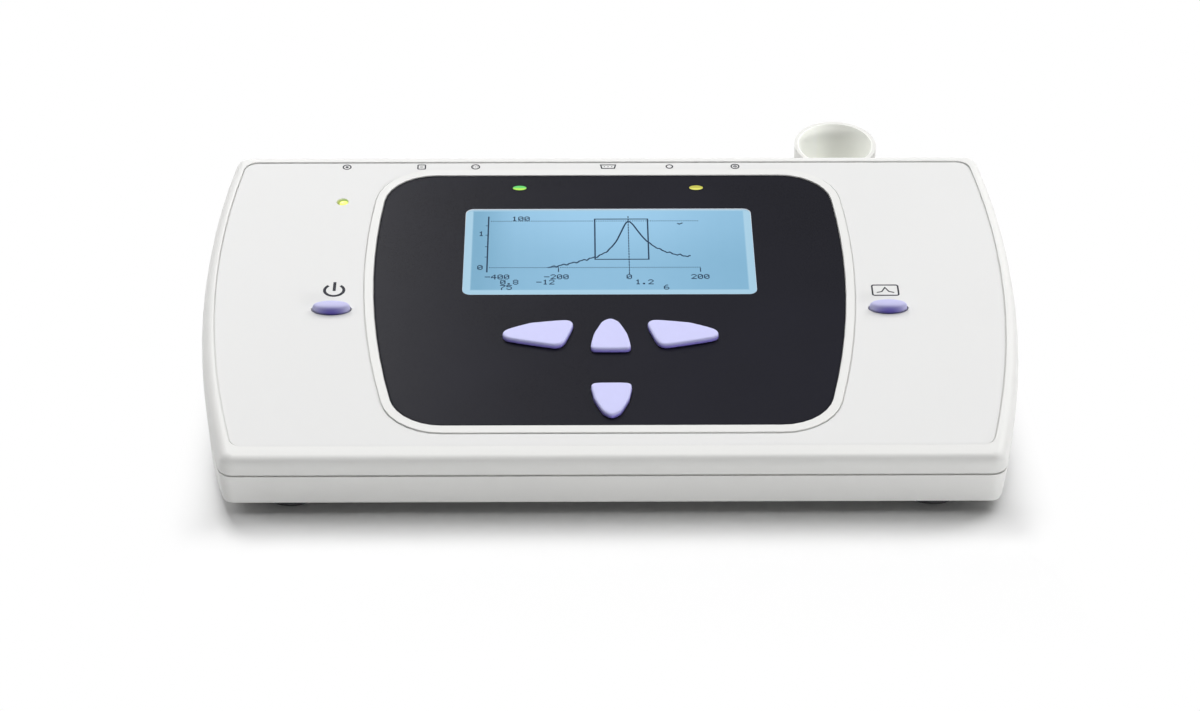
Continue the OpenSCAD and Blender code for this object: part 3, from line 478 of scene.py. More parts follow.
class Solid:
    """A mesh under construction, in the row frame."""

    def __init__(self, name: str) -> None:
        """Starts an empty mesh with a name for its object."""
        self.name = name
        self.points: list[Vector] = []
        self.faces: list[tuple[int, ...]] = []

    def ribbon(
        self, line: Sequence[Flat], width: float, low: float, high: float, closed: bool = False
    ) -> None:
        """A flat strip along a line on the top surface.

        Args:
            line: (u, v) points in millimetres.
            width: width of the strip in millimetres.
            low: its underside above the surface.
            high: its upper side.
            closed: whether the line is a loop.
        """
        count = len(line)
        sides: list[tuple[Flat, Flat]] = []
        for i, (u, v) in enumerate(line):
            before = line[i - 1] if i or closed else line[i]
            after = line[(i + 1) % count] if closed or i < count - 1 else line[i]
            one = Vector((u - before[0], v - before[1]))
            two = Vector((after[0] - u, after[1] - v))
            one = one.normalized() if one.length else two.normalized()
            two = two.normalized() if two.length else one
            along = (one + two).normalized()
            reach = width / 2 / max(0.35, along.dot(one))
            off_u, off_v = along.y * reach, along.x * reach
            sides.append(((u - off_u, v + off_v), (u + off_u, v - off_v)))
        start = len(self.points)
        for left, right in sides:
            self.points += [TOP.at(*left, low), TOP.at(*right, low)]
            self.points += [TOP.at(*right, high), TOP.at(*left, high)]
        for i in range(count if closed else count - 1):
            a, b = start + 4 * i, start + 4 * ((i + 1) % count)
            self.faces += [(a + 3, a + 2, b + 2, b + 3), (a, b, b + 1, a + 1),
                           (a + 1, b + 1, b + 2, a + 2), (a + 3, b + 3, b, a)]
        if not closed:
            end = start + 4 * (count - 1)
            self.faces += [(start, start + 1, start + 2, start + 3), (end + 3, end + 2, end + 1, end)]

    def patch(self, u: float, v: float, width: float, depth: float, low: float, high: float) -> None:
        """A flat rectangle on the top surface, by its lower left corner.

        Args:
            u: left side.
            v: front side.
            width: size along u.
            depth: size along v.
            low: its underside above the surface.
            high: its upper side.
        """
        loop = [(u, v), (u + width, v), (u + width, v + depth), (u, v + depth)]
        self.loft([[TOP.at(*spot, level) for spot in loop] for level in (low, high)])

    def ring(self, inner: Sequence[Flat], outer: Sequence[Flat], low: float, high: float) -> None:
        """A flat ring on the top surface between two loops of the same length.

        Args:
            inner: the hole's (u, v) points in millimetres.
            outer: the rim's.
            low: its underside above the surface.
            high: its upper side.
        """
        start, count = len(self.points), len(inner)
        for one, two in zip(inner, outer):
            self.points += [TOP.at(*one, low), TOP.at(*two, low), TOP.at(*two, high), TOP.at(*one, high)]
        for i in range(count):
            a, b = start + 4 * i, start + 4 * ((i + 1) % count)
            for k in range(4):
                n = (k + 1) % 4
                self.faces.append((a + k, b + k, b + n, a + n))

    def loft(self, loops: Sequence[Sequence[Vector]]) -> None:
        """A closed skin through loops of the same length, the lowest first.

        Args:
            loops: the loops, each anticlockwise seen from above.
        """
        start, sides = len(self.points), len(loops[0])
        for loop in loops:
            self.points += loop
        self.faces.append(tuple(start + i for i in reversed(range(sides))))
        self.faces.append(tuple(start + (len(loops) - 1) * sides + i for i in range(sides)))
        for k in range(len(loops) - 1):
            for i in range(sides):
                j, a = (i + 1) % sides, start + k * sides
                self.faces.append((a + i, a + j, a + sides + j, a + sides + i))

    def dome(self, u: float, v: float, radius: float, low: float, high: float) -> None:
        """A round lens with a domed top.

        Args:
            u: its middle, to the right.
            v: its middle, to the back.
            radius: its radius in millimetres.
            low: its foot above the surface.
            high: the top of the dome.
        """
        rise, loops = 0.35 * radius, [(radius, low)]
        for k in range(6):
            angle = math.radians(90 * k / 6)
            loops.append((radius * math.cos(angle), high - rise + rise * math.sin(angle)))
        self.loft([[TOP.at(*spot, level) for spot in oval(u, v, size, size, 28)] for size, level in loops])

    def rod(self, start: Vector, end: Vector, radius: float, sides: int = 20, taper: float = 0.75) -> None:
        """A round pin with a tapered tip.

        Args:
            start: middle of its foot, in metres.
            end: middle of its tip.
            radius: its radius in metres.
            sides: corners round it.
            taper: radius of the tip against the foot.
        """
        axis = (end - start).normalized()
        turn = axis.to_track_quat("Z", "Y").to_matrix()
        loops = []
        for share, size in ((0.0, 1.0), (0.85, 1.0), (0.95, (1 + taper) / 2), (1.0, taper)):
            centre = start.lerp(end, share)
            loops.append([
                centre + turn @ Vector((math.cos(a), math.sin(a), 0.0)) * radius * size
                for a in (2 * math.pi * i / sides for i in range(sides))
            ])
        self.loft(loops)

    def finish(self, material: bpy.types.Material, slot: str, body: str = CASE, smooth: bool = False) -> None:
        """Makes the object, dresses it and lets it ride on a body.

        Args:
            material: its finish.
            slot: the record's material slot; not used.
            body: the body it rides on.
            smooth: whether its faces are shaded as one round surface.
        """
        mesh = bpy.data.meshes.new(self.name)
        mesh.from_pydata(self.points, [], self.faces)
        mesh.validate()
        mesh.polygons.foreach_set("use_smooth", [smooth] * len(mesh.polygons))
        mesh.materials.append(material)
        thing = bpy.data.objects.new(self.name, mesh)
        bpy.context.scene.collection.objects.link(thing)
        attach(thing, body)
        LOG.info("piece %s: %d faces on %s", self.name, len(mesh.polygons), body)


def arc(u: float, v: float, radius: float, start: float, end: float, steps: int = 32) -> list[Flat]:
    """Points of an arc on the top surface.

    Args:
        u: middle, to the right.
        v: middle, to the back.
        radius: radius in millimetres.
        start: first angle in degrees.
        end: last angle.
        steps: number of parts.

    Returns:
        The points.
    """
    angles = (math.radians(start + (end - start) * i / steps) for i in range(steps + 1))
    return [(u + radius * math.cos(a), v + radius * math.sin(a)) for a in angles]


def oval(u: float, v: float, half_u: float, half_v: float, steps: int = 40) -> list[Flat]:
    """Points of an ellipse on the top surface.

    Args:
        u: middle, to the right.
        v: middle, to the back.
        half_u: half width.
        half_v: half depth.
        steps: number of parts.

    Returns:
        The closed loop's points.
    """
    turns = (2 * math.pi * i / steps for i in range(steps))
    return [(u + half_u * math.cos(a), v + half_v * math.sin(a)) for a in turns]


def outline(node: str, above: float) -> list[Flat]:
    """The outer line of a node's upper side, as seen from above the top surface.

    Args:
        node: the node's name.
        above: lowest height that counts, in millimetres above the surface.

    Returns:
        The closed loop's points, anticlockwise.
    """
    spots = sorted({
        (round(u, 3), round(v, 3))
        for u, v, n in (TOP.place(vertex.co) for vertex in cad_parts[node].data.vertices)
        if n > above
    })
    halves = []
    for run in (spots, spots[::-1]):
        half: list[Flat] = []
        for spot in run:
            while len(half) > 1 and (half[-1][0] - half[-2][0]) * (spot[1] - half[-2][1]) <= (
                half[-1][1] - half[-2][1]
            ) * (spot[0] - half[-2][0]):
                half.pop()
            half.append(spot)
        halves.append(half[:-1])
    return halves[0] + halves[1]


def flow(line: Sequence[Flat], ease: float = 0.85, far: float = 6.0, steps: int = 8) -> list[Flat]:
    """A soft closed curve through the corners of a polygon.

    Args:
        line: the polygon, anticlockwise.
        ease: how far the curve swells out of a side, 1 for the most.
        far: sides above this length in millimetres swell no more.
        steps: parts of a side.

    Returns:
        The curve's points.
    """
    spots = [Vector(spot) for spot in line]
    count = len(spots)
    ways = []
    for i, spot in enumerate(spots):
        before, after = spot - spots[i - 1], spots[(i + 1) % count] - spot
        way = before.normalized() * after.length ** 0.5 + after.normalized() * before.length ** 0.5
        ways.append(way.normalized())
    curve: list[Flat] = []
    for i, spot in enumerate(spots):
        j = (i + 1) % count
        pull = ease * min((spots[j] - spot).length, far)
        for k in range(steps):
            t = k / steps
            point = spot * (2 * t ** 3 - 3 * t ** 2 + 1) + spots[j] * (3 * t ** 2 - 2 * t ** 3)
            point += (ways[i] * (t ** 3 - 2 * t ** 2 + t) + ways[j] * (t ** 3 - t ** 2)) * pull
            curve.append((point.x, point.y))
    return curve


def eased(line: Sequence[Flat], step: float = 0.25, reach: int = 3) -> list[Flat]:
    """A loop in even steps with its corners taken off.

    Args:
        line: the loop's points.
        step: distance between the new points, in millimetres.
        reach: how many neighbours on each side a point is averaged with.

    Returns:
        The new points.
    """
    spots = [Vector(spot) for spot in line]
    even: list[Vector] = []
    ahead = 0.0
    for start, end in zip(spots, spots[1:] + spots[:1]):
        length = (end - start).length
        while ahead < length:
            even.append(start.lerp(end, ahead / length))
            ahead += step
        ahead -= length
    span = range(-reach, reach + 1)
    groups = ([even[(i + k) % len(even)] for k in span] for i in range(len(even)))
    return [(sum(p.x for p in group) / len(group), sum(p.y for p in group) / len(group)) for group in groups]


def extent(line: Sequence[Flat]) -> tuple[Flat, Flat]:
    """Lowest and highest u, and lowest and highest v, of a loop's points."""
    us, vs = zip(*line)
    return (min(us), max(us)), (min(vs), max(vs))


def inset(line: Sequence[Flat], gap: float) -> list[Flat]:
    """A loop drawn together about its middle.

    Args:
        line: the loop's points.
        gap: how far each end moves in, in millimetres.

    Returns:
        The new points.
    """
    (left, right), (front, back) = extent(line)
    mid_u, mid_v = (left + right) / 2, (front + back) / 2
    near_u, near_v = 1 - 2 * gap / (right - left), 1 - 2 * gap / (back - front)
    return [(mid_u + (u - mid_u) * near_u, mid_v + (v - mid_v) * near_v) for u, v in line]


def round_frame(half_u: float, half_v: float, radius: float, mid_v: float, mid_u: float = 0.0) -> list[Flat]:
    """A rectangle with round corners on the top surface.

    Args:
        half_u: half width.
        half_v: half depth.
        radius: corner radius.
        mid_v: its middle along v.
        mid_u: its middle along u.

    Returns:
        The closed loop's points.
    """
    loop: list[Flat] = []
    for quarter, (su, sv) in enumerate(((1, 1), (-1, 1), (-1, -1), (1, -1))):
        loop += arc(mid_u + su * (half_u - radius), mid_v + sv * (half_v - radius), radius,
                    90 * quarter, 90 * quarter + 90, 8)
    return loop


# Finishes of the carried-over nodes


class Paint(Enum):
    """Finishes shared by several nodes."""

    SHELL = Moulded("shell_white", (0.755, 0.755, 0.74), 0.5, spread=0.012, depth=0.000015, specular=0.28)
    CUP = PaintedGlowCup("cup_white", (0.785, 0.785, 0.755), 0.45)
    OVERLAY = Moulded(
        "overlay_grey", (0.74, 0.74, 0.735), 0.6, spread=0.012, depth=0.000008, grain=4200.0, specular=0.3
    )
    FASCIA = Moulded(
        "fascia_dark", (0.0032, 0.0032, 0.0085), 0.3, spread=0.2, depth=0.00001, grain=4200.0, specular=0.045
    )
    PANEL = Moulded("panel_grey", (0.62, 0.62, 0.60), 0.5, spread=0.03)
    FOOT = Moulded("foot_rubber", (0.045, 0.045, 0.048), 0.75, spread=0.2, grain=1500.0, depth=0.00005)
    MAT = Moulded("mat_lilac", (0.50, 0.48, 0.75), 0.6, spread=0.05)
    BLACK = Moulded("socket_black", (0.02, 0.02, 0.021), 0.42, spread=0.2)
    CHIP = Moulded("chip_black", (0.025, 0.025, 0.027), 0.6, spread=0.25, grain=3500.0)
    SLEEVE = Moulded("can_blue", (0.02, 0.045, 0.2), 0.3, spread=0.15, coat=0.4)
    SENSOR = Moulded("sensor_blue", (0.04, 0.07, 0.16), 0.45, spread=0.15)
    RIBBON = Moulded("ribbon_ivory", (0.72, 0.69, 0.58), 0.35, stretch=(60, 1, 1), grain=80.0, spread=0.12)
    FLEX = Moulded(
        "flex_amber", (0.55, 0.26, 0.04), 0.3, spread=0.12, coat=0.5, stretch=(1, 50, 1), grain=40.0
    )
    WIRE = Moulded("wire_red", (0.5, 0.03, 0.025), 0.4, spread=0.12)
    HOSE = Moulded("hose_amber", (0.62, 0.54, 0.34), 0.4, spread=0.08, coat=0.2)
    SEAL = Moulded("seal_black", (0.012, 0.012, 0.012), 0.3, spread=0.2, coat=0.3)
    ACETAL = Moulded("piston_white", (0.84, 0.84, 0.82), 0.38, spread=0.03, stretch=(8, 1, 1), grain=300.0)
    PORT = Moulded("port_clear", (0.72, 0.74, 0.75), 0.3, spread=0.05, coat=0.3)
    BARREL = Moulded("barrel_clear", (0.62, 0.70, 0.76), 0.15, spread=0.06, coat=0.6)
    GUIDE = Moulded("light_guide", (0.85, 0.9, 0.95), 0.55, spread=0.03)
    GLASS = Moulded("glass_blue", (0.35, 0.5, 0.62), 0.12, spread=0.05, coat=0.5)
    ZINC = Moulded(
        "screw_steel", (0.62, 0.62, 0.64), 0.32, 1.0, grain=1400.0, stretch=(1, 1, 6), spread=0.12
    )
    NICKEL = Moulded("nut_nickel", (0.72, 0.71, 0.68), 0.2, 1.0, grain=900.0, spread=0.08)
    TINNED = Moulded(
        "socket_steel", (0.64, 0.65, 0.66), 0.28, 1.0, grain=700.0, stretch=(1, 12, 1), spread=0.1
    )
    BRACKET = Moulded(
        "bracket_zinc", (0.55, 0.56, 0.58), 0.42, 1.0, grain=260.0, stretch=(1, 1, 14), spread=0.16
    )
    MOTOR = Moulded(
        "motor_steel", (0.45, 0.46, 0.48), 0.35, 1.0, grain=300.0, stretch=(12, 1, 1), spread=0.12
    )
    THREAD = Moulded(
        "screw_bright", (0.68, 0.68, 0.70), 0.22, 1.0, grain=500.0, stretch=(9, 0.2, 0.2), depth=0.0002
    )
    CELL = Moulded("cell_steel", (0.70, 0.70, 0.71), 0.25, 1.0, grain=240.0, stretch=(9, 1, 1), spread=0.08)
    ALLOY = Moulded(
        "manifold_grey", (0.60, 0.62, 0.64), 0.38, 1.0, grain=240.0, stretch=(1, 14, 1), spread=0.1
    )
    VALVE = Moulded(
        "valve_steel", (0.38, 0.39, 0.41), 0.35, 1.0, grain=320.0, stretch=(1, 10, 1), spread=0.12
    )
    SATIN = Moulded("frame_black", (0.03, 0.03, 0.033), 0.45, 0.4, grain=900.0, spread=0.2)
    GREEN = Board("board_green", (0.02, 0.13, 0.055))
    INK = Moulded("print_grey", (0.028, 0.028, 0.038), 0.6, spread=0.12, grain=3800.0, specular=0.08)
    LCD_INK = Moulded("lcd_ink", (0.008, 0.03, 0.07), 0.5, spread=0.1, specular=0.05)
    EDGE = Moulded("edge_black", (0.004, 0.004, 0.008), 0.5, spread=0.2, specular=0.03)
    GOLD = Moulded("contact_gold", (0.72, 0.52, 0.22), 0.25, 1.0, grain=800.0, spread=0.1)


NODE_PAINT: dict[Paint, tuple[str, ...]] = {
    Paint.SHELL: ("top_cover", "base_tray"),
    Paint.CUP: ("probe_holder",),
    Paint.OVERLAY: ("side_overlay",),
    Paint.FASCIA: ("fascia_label",),
    Paint.PANEL: ("rear_panel",),
    Paint.FOOT: ("rubber_feet",),
    Paint.MAT: ("keypad_mats",),
    Paint.BLACK: ("power_jack", "printer_socket", "contra_jack"),
    Paint.CHIP: ("board_chips",),
    Paint.SLEEVE: ("board_capacitors",),
    Paint.SENSOR: ("pressure_sensor",),
    Paint.RIBBON: ("flat_cable",),
    Paint.FLEX: ("flex_links",),
    Paint.WIRE: ("lead_wires",),
    Paint.HOSE: ("air_tubing",),
    Paint.SEAL: ("piston_seal",),
    Paint.ACETAL: ("pump_piston",),
    Paint.PORT: ("air_port",),
    Paint.BARREL: ("pump_barrel",),
    Paint.GUIDE: ("lcd_backlight",),
    Paint.GLASS: ("lcd_glass",),
    Paint.ZINC: ("cover_screws", "board_screws", "pump_bolts", "holder_screws", "case_screws"),
    Paint.NICKEL: ("power_nut", "contra_nut", "air_nut", "probe_posts"),
    Paint.TINNED: ("usb_socket", "probe_socket"),
    Paint.BRACKET: ("pump_bracket",),
    Paint.MOTOR: ("pump_motor",),
    Paint.THREAD: ("pump_screw",),
    Paint.CELL: ("coin_cell",),
    Paint.ALLOY: ("air_manifold",),
    Paint.VALVE: ("vent_valve",),
    Paint.SATIN: ("lcd_frame",),
    Paint.GREEN: ("key_board", "side_boards", "lcd_board", "main_board"),
}


@dataclass
class Wardrobe:
    """Builds each finish once and puts it on the nodes of the frame."""

    made: dict[Paint, bpy.types.Material] = field(default_factory=dict)
    smooth_below: float = 32.0

    def get(self, paint: Paint) -> bpy.types.Material:
        """The material of a shared finish."""
        if paint not in self.made:
            self.made[paint] = paint.value.build()
        return self.made[paint]

    def wear(self, node: str, material: bpy.types.Material) -> None:
        """Dresses one node and smooths its shading.

        Args:
            node: the node's name.
            material: its finish.
        """
        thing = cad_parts[node]
        for slot in thing.material_slots:
            slot.material = material
        mesh = thing.data
        if "custom_normal" in mesh.attributes:
            mesh.attributes.remove(mesh.attributes["custom_normal"])
        mesh.polygons.foreach_set("use_smooth", [True] * len(mesh.polygons))
        weld = thing.modifiers.new("weld", "WELD")
        weld.merge_threshold = 2e-6
        split = thing.modifiers.new("edges", "EDGE_SPLIT")
        split.split_angle = math.radians(self.smooth_below)
        thing.modifiers.new("normals", "WEIGHTED_NORMAL")
        LOG.info("node %s wears %s", node, material.name)

    def dress_nodes(self) -> None:
        """Dresses every node that has a shared finish."""
        for paint, nodes in NODE_PAINT.items():
            for node in nodes:
                self.wear(node, self.get(paint))


# Display


DIGITS: dict[str, tuple[int, ...]] = {
    "0": (14, 17, 19, 21, 25, 17, 14), "1": (4, 12, 4, 4, 4, 4, 14), "2": (14, 17, 1, 2, 4, 8, 31),
    "3": (31, 2, 4, 2, 1, 17, 14), "4": (2, 6, 10, 18, 31, 2, 2), "5": (31, 16, 30, 1, 1, 17, 14),
    "6": (6, 8, 16, 30, 17, 17, 14), "7": (31, 1, 2, 4, 8, 8, 8), "8": (14, 17, 17, 14, 17, 17, 14),
    "9": (14, 17, 17, 15, 1, 2, 12), "-": (0, 0, 0, 31, 0, 0, 0), ".": (0, 0, 0, 0, 0, 12, 12),
}


@dataclass
class Display:
    """Back-lit display with a pressure curve, its scale and plain numbers, in millimetres."""

    wardrobe: Wardrobe
    half_width: float = 48.75
    half_depth: float = 25.0
    middle: float = -56.3
    corner: float = 2.6
    glass: float = -0.7
    lift: float = 0.005
    ink: float = 0.02
    pen: float = 0.5
    dot_pitch: Flat = (0.355, 0.385)
    sign_columns: int = 5
    axis_u: float = -40.95
    axis_ends: Flat = (-35.3, -68.2)
    tick: Flat = (0.9, 0.3)
    tick_levels: tuple[float, ...] = (-41.0, -46.6, -53.4, -59.5)
    top_v: float = -38.1
    base_v: float = -65.5
    dot: Flat = (0.4, 0.38)
    dots: int = 93
    dots_start: float = -40.2
    dots_step: float = 0.765
    mark: Flat = (0.36, 2.2)
    mark_v: float = -68.1
    mark_places: Flat = (-17.0, 30.5)
    dash: Flat = (0.34, 1.2)
    dash_at: Flat = (6.55, -36.4)
    dashes: int = 22
    dashes_step: float = 1.57
    box_sides: Flat = (-4.7, 13.35)
    box_levels: Flat = (-60.8, -36.95)
    check_mark: tuple[Flat, ...] = ((23.5, -39.5), (24.1, -40.1), (25.3, -39.3))
    curve_start: float = -20.5
    curve_length: float = 48.0
    curve_steps: int = 96
    peak_u: float = 6.75
    peak_height: float = 28.0
    peak_power: float = 1.9
    peak_widths: Flat = (4.4, 5.6)
    foot_levels: Flat = (2.9, 5.0)
    foot_run: float = 22.0
    foot_drop: float = 0.9
    labels: tuple[tuple[str, float, float], ...] = (
        ("1", -44.2, -45.6), ("0", -44.2, -65.4), ("-400", -41.6, -70.9), ("-200", -21.8, -70.9),
        ("0", 5.7, -70.9), ("200", 27.3, -70.9), ("100", -33.0, -36.7), ("0.8", -36.4, -73.9),
        ("-12", -24.4, -73.9), ("75", -36.4, -76.9), ("1.2", 8.6, -73.9), ("6", 18.0, -76.9),
    )

    @property
    def span(self) -> Flat:
        """Underside and upper side of the picture's lines above the top surface."""
        return self.glass + self.lift, self.glass + self.ink

    def screen_material(self) -> bpy.types.Material:
        """Pale blue back light, lighter round the active area."""
        dark, bright = (0.14, 0.345, 0.50), (0.315, 0.575, 0.79)
        border, glass = (0.38, 0.60, 0.73), (0.02, 0.03, 0.05)
        shader = Shader("screen_blue")
        origin = tuple(TOP.at(0, self.middle))
        side = shader.along((1, 0, 0), origin)
        across = abs(side)
        deep = shader.along(tuple(TOP.back), origin)
        rim = across.rise(45.9, 46.6).larger(deep.rise(23.9, 24.5)).larger((0 - deep).rise(21.6, 22.4))
        height, middle = deep.rise(-10.0, 24.0), 1 - across.rise(5.0, 46.0)
        level = side.rise(-47.0, -30.0) * (height * 0.25 + 0.26) + middle * (height * 0.15 + 0.2)
        bands = {"wave_type": "BANDS", "bands_direction": "X"}
        column = 1 / (MM * 0.77 * 20)
        columns = shader.add("ShaderNodeTexWave", bands, {"Vector": shader.place, "Scale": column})
        haze = shader.noise(260.0) * 0.5 + Signal(shader, columns.outputs["Fac"]) * 0.12
        colour = shader.mix(shader.mix(dark, bright, level + haze * 0.06), border, rim * 0.85)
        return shader.dress(
            base_color=shader.mix(colour, glass, 0.93),
            emission_color=colour,
            emission_strength=0.92,
            roughness=haze * 0.05 + 0.18,
            specular_ior_level=0.15,
            coat_weight=0.05,
        )

    def number(self, solid: Solid, text: str, u: float, v: float) -> None:
        """Adds a number in dot characters.

        Args:
            solid: the mesh it goes into.
            text: digits, minus signs and points.
            u: its left side.
            v: its middle line.
        """
        wide, deep = self.dot_pitch
        for place, sign in enumerate(text):
            for row, bits in enumerate(DIGITS[sign]):
                column = 0
                while column < self.sign_columns:
                    run = 0
                    while column + run < self.sign_columns and bits >> (4 - column - run) & 1:
                        run += 1
                    if run:
                        left, front = u + (place * 6 + column) * wide, v + (2.5 - row) * deep
                        solid.patch(left, front, run * wide + 0.04, deep * 1.15, *self.span)
                    column += max(1, run)

    def curve(self) -> list[Flat]:
        """The pressure curve: a soft peak on a slow slope, with the jitter of a real reading."""
        points: list[Flat] = []
        for i in range(self.curve_steps + 1):
            u = self.curve_start + self.curve_length * i / self.curve_steps
            side = 0 if u < self.peak_u else 1
            off = (u - self.peak_u) / self.peak_widths[side]
            foot = min(self.foot_levels[side], self.foot_levels[1] * (u - self.curve_start) / self.foot_run)
            height = self.peak_height / (1 + abs(off) ** self.peak_power) + foot * (1 - math.exp(-off * off))
            jitter = 0.34 * math.sin(u * 1.9) + 0.26 * math.sin(u * 3.7 + 1.0)
            jitter *= 1 - math.exp(-off * off / 3)
            points.append((u, self.base_v + max(0.0, height - self.foot_drop) + jitter))
        return points

    def axes(self) -> Solid:
        """The upright axis with its ticks, the dotted levels, the scale's marks and the dashed line."""
        axes = Solid("display_axes")
        axes.ribbon([(self.axis_u, v) for v in self.axis_ends], self.pen, *self.span)
        for v in self.tick_levels:
            axes.patch(self.axis_u - self.tick[0], v, *self.tick, *self.span)
        for v in (self.top_v, self.base_v):
            for i in range(self.dots):
                axes.patch(self.dots_start + i * self.dots_step, v - self.dot[1] / 2, *self.dot, *self.span)
        for u in self.mark_places:
            axes.patch(u - self.mark[0] / 2, self.mark_v, *self.mark, *self.span)
        for i in range(self.dashes):
            axes.patch(self.dash_at[0], self.dash_at[1] - i * self.dashes_step, *self.dash, *self.span)
        return axes

    def box(self) -> Solid:
        """The box of the normal range and a small check mark."""
        (left, right), (front, back) = self.box_sides, self.box_levels
        box = Solid("display_box")
        corners = [(left, front), (right, front), (right, back), (left, back)]
        box.ribbon(corners, self.pen, *self.span, closed=True)
        box.ribbon(self.check_mark, self.pen, *self.span)
        return box

    def trace(self) -> Solid:
        """The curve's line, a little thicker than the rest."""
        low, high = self.span
        trace = Solid("display_trace")
        trace.ribbon(self.curve(), 0.56, low, high + LIFT)
        return trace

    def numbers(self) -> Solid:
        """The scale's numbers and the readings under it."""
        numbers = Solid("display_numbers")
        for text, u, v in self.labels:
            self.number(numbers, text, u, v)
        return numbers

    def edge(self) -> None:
        """A painted highlight along the cut edge of the window: a thin glowing ribbon, brightest towards the
        rear.
        """
        line = round_frame(self.half_width + 0.03, self.half_depth + 0.03, self.corner, self.middle)
        edge = Solid("window_painted_highlight")
        edge.ribbon(line, 0.14, self.glass + 0.01, FILM - 0.02, closed=True)
        # Painted highlight: the ribbon glows pale blue at the front and near white at the rear.
        origin, way = tuple(TOP.at(0, self.middle)), tuple(TOP.back)
        glow = Lamp("painted_edge_highlight", (0.62, 0.78, 0.95), (0.86, 0.92, 1.0), 0.35, origin, way, 10.0, 24.0)
        edge.finish(glow.build(), "window_clear")

    def build(self) -> None:
        """Dresses the window and builds the picture on it."""
        self.wardrobe.wear("display_window", self.screen_material())
        for part in (self.axes(), self.box(), self.trace(), self.numbers()):
            part.finish(self.wardrobe.get(Paint.LCD_INK), "frame_black")
        self.edge()


# Print on the overlay


@dataclass
class Print:
    """Generic marks printed on the pale overlay, in millimetres."""

    wardrobe: Wardrobe
    thick: float = 0.03
    power_at: Flat = (-91.24, -78.7)
    power_ring: float = 3.2
    power_gap: Flat = (128, 412)
    power_bar: Flat = (-0.4, 4.6)
    power_pen: float = 1.0
    mode_at: Flat = (91.3, -79.4)
    mode_half: Flat = (4.3, 2.9)
    mode_corner: float = 0.7
    mode_line: tuple[Flat, ...] = ((-2.9, -1.3), (-1.2, -0.8), (0.0, 1.5), (1.2, -0.8), (2.9, -1.3))
    socket_v: float = -5.0
    socket_pen: float = 0.46
    round_sockets: tuple[Flat, ...] = ((-91.2, 1.35), (-46.2, 1.35), (21.7, 1.1), (44.7, 1.35))
    power_dot: tuple[float, float, float] = (-91.2, 0.3, 0.5)
    phone_dot: tuple[float, float, float] = (44.7, 0.45, 0.4)
    printer_pins: tuple[float, ...] = (-46.9, -46.2, -45.5)
    printer_pin: float = 0.3
    data_at: float = -65.1
    data_half: float = 1.3
    data_tongue: Flat = (1.2, 0.4)
    probe_shell: tuple[Flat, ...] = ((-2.4, 1.1), (-2.0, -1.1), (2.4, -1.1), (2.8, 1.1))
    probe_pins: tuple[float, ...] = (-1.1, 0.2, 1.5)
    probe_pin: float = 0.36

    @property
    def span(self) -> Flat:
        """Underside and upper side of the print above the top surface."""
        return FILM + LIFT, FILM + self.thick

    def power_mark(self) -> None:
        """The standard standby mark: an open ring and a bar."""
        mark = Solid("mark_power")
        u, v = self.power_at
        mark.ribbon(arc(u, v, self.power_ring, *self.power_gap, 40), self.power_pen, *self.span)
        mark.ribbon([(u, v + end) for end in self.power_bar], self.power_pen, *self.span)
        mark.finish(self.wardrobe.get(Paint.INK), "fascia_dark")

    def mode_mark(self) -> None:
        """A plain screen with a line, for the key that changes the view."""
        mark = Solid("mark_mode")
        u, v = self.mode_at
        mark.ribbon(round_frame(*self.mode_half, self.mode_corner, v, u), 0.55, *self.span, closed=True)
        mark.ribbon([(u + du, v + dv) for du, dv in self.mode_line], 0.45, *self.span)
        mark.finish(self.wardrobe.get(Paint.INK), "fascia_dark")

    def socket_marks(self) -> None:
        """A small outline of each rear socket above its place."""
        mark = Solid("mark_sockets")
        v, pen = self.socket_v, self.socket_pen
        for u, radius in self.round_sockets:
            mark.ribbon(arc(u, v, radius, 0, 345, 24), pen, *self.span, closed=True)
        for u, radius, dot_pen in (self.power_dot, self.phone_dot):
            mark.ribbon(arc(u, v, radius, 0, 330, 12), dot_pen, *self.span, closed=True)
        for places, size in ((self.printer_pins, self.printer_pin), (self.probe_pins, self.probe_pin)):
            for u in places:
                mark.patch(u - size / 2, v - size / 2, size, size, *self.span)
        square = round_frame(self.data_half, self.data_half, 0.3, v, self.data_at)
        mark.ribbon(square, pen, *self.span, closed=True)
        wide, deep = self.data_tongue
        mark.patch(self.data_at - wide / 2, v - deep / 2, wide, deep, *self.span)
        mark.ribbon([(u, v + dv) for u, dv in self.probe_shell], pen, *self.span, closed=True)
        mark.finish(self.wardrobe.get(Paint.INK), "fascia_dark")

    def build(self) -> None:
        """Builds all printed marks."""
        self.power_mark()
        self.mode_mark()
        self.socket_marks()


# Keys and lamps


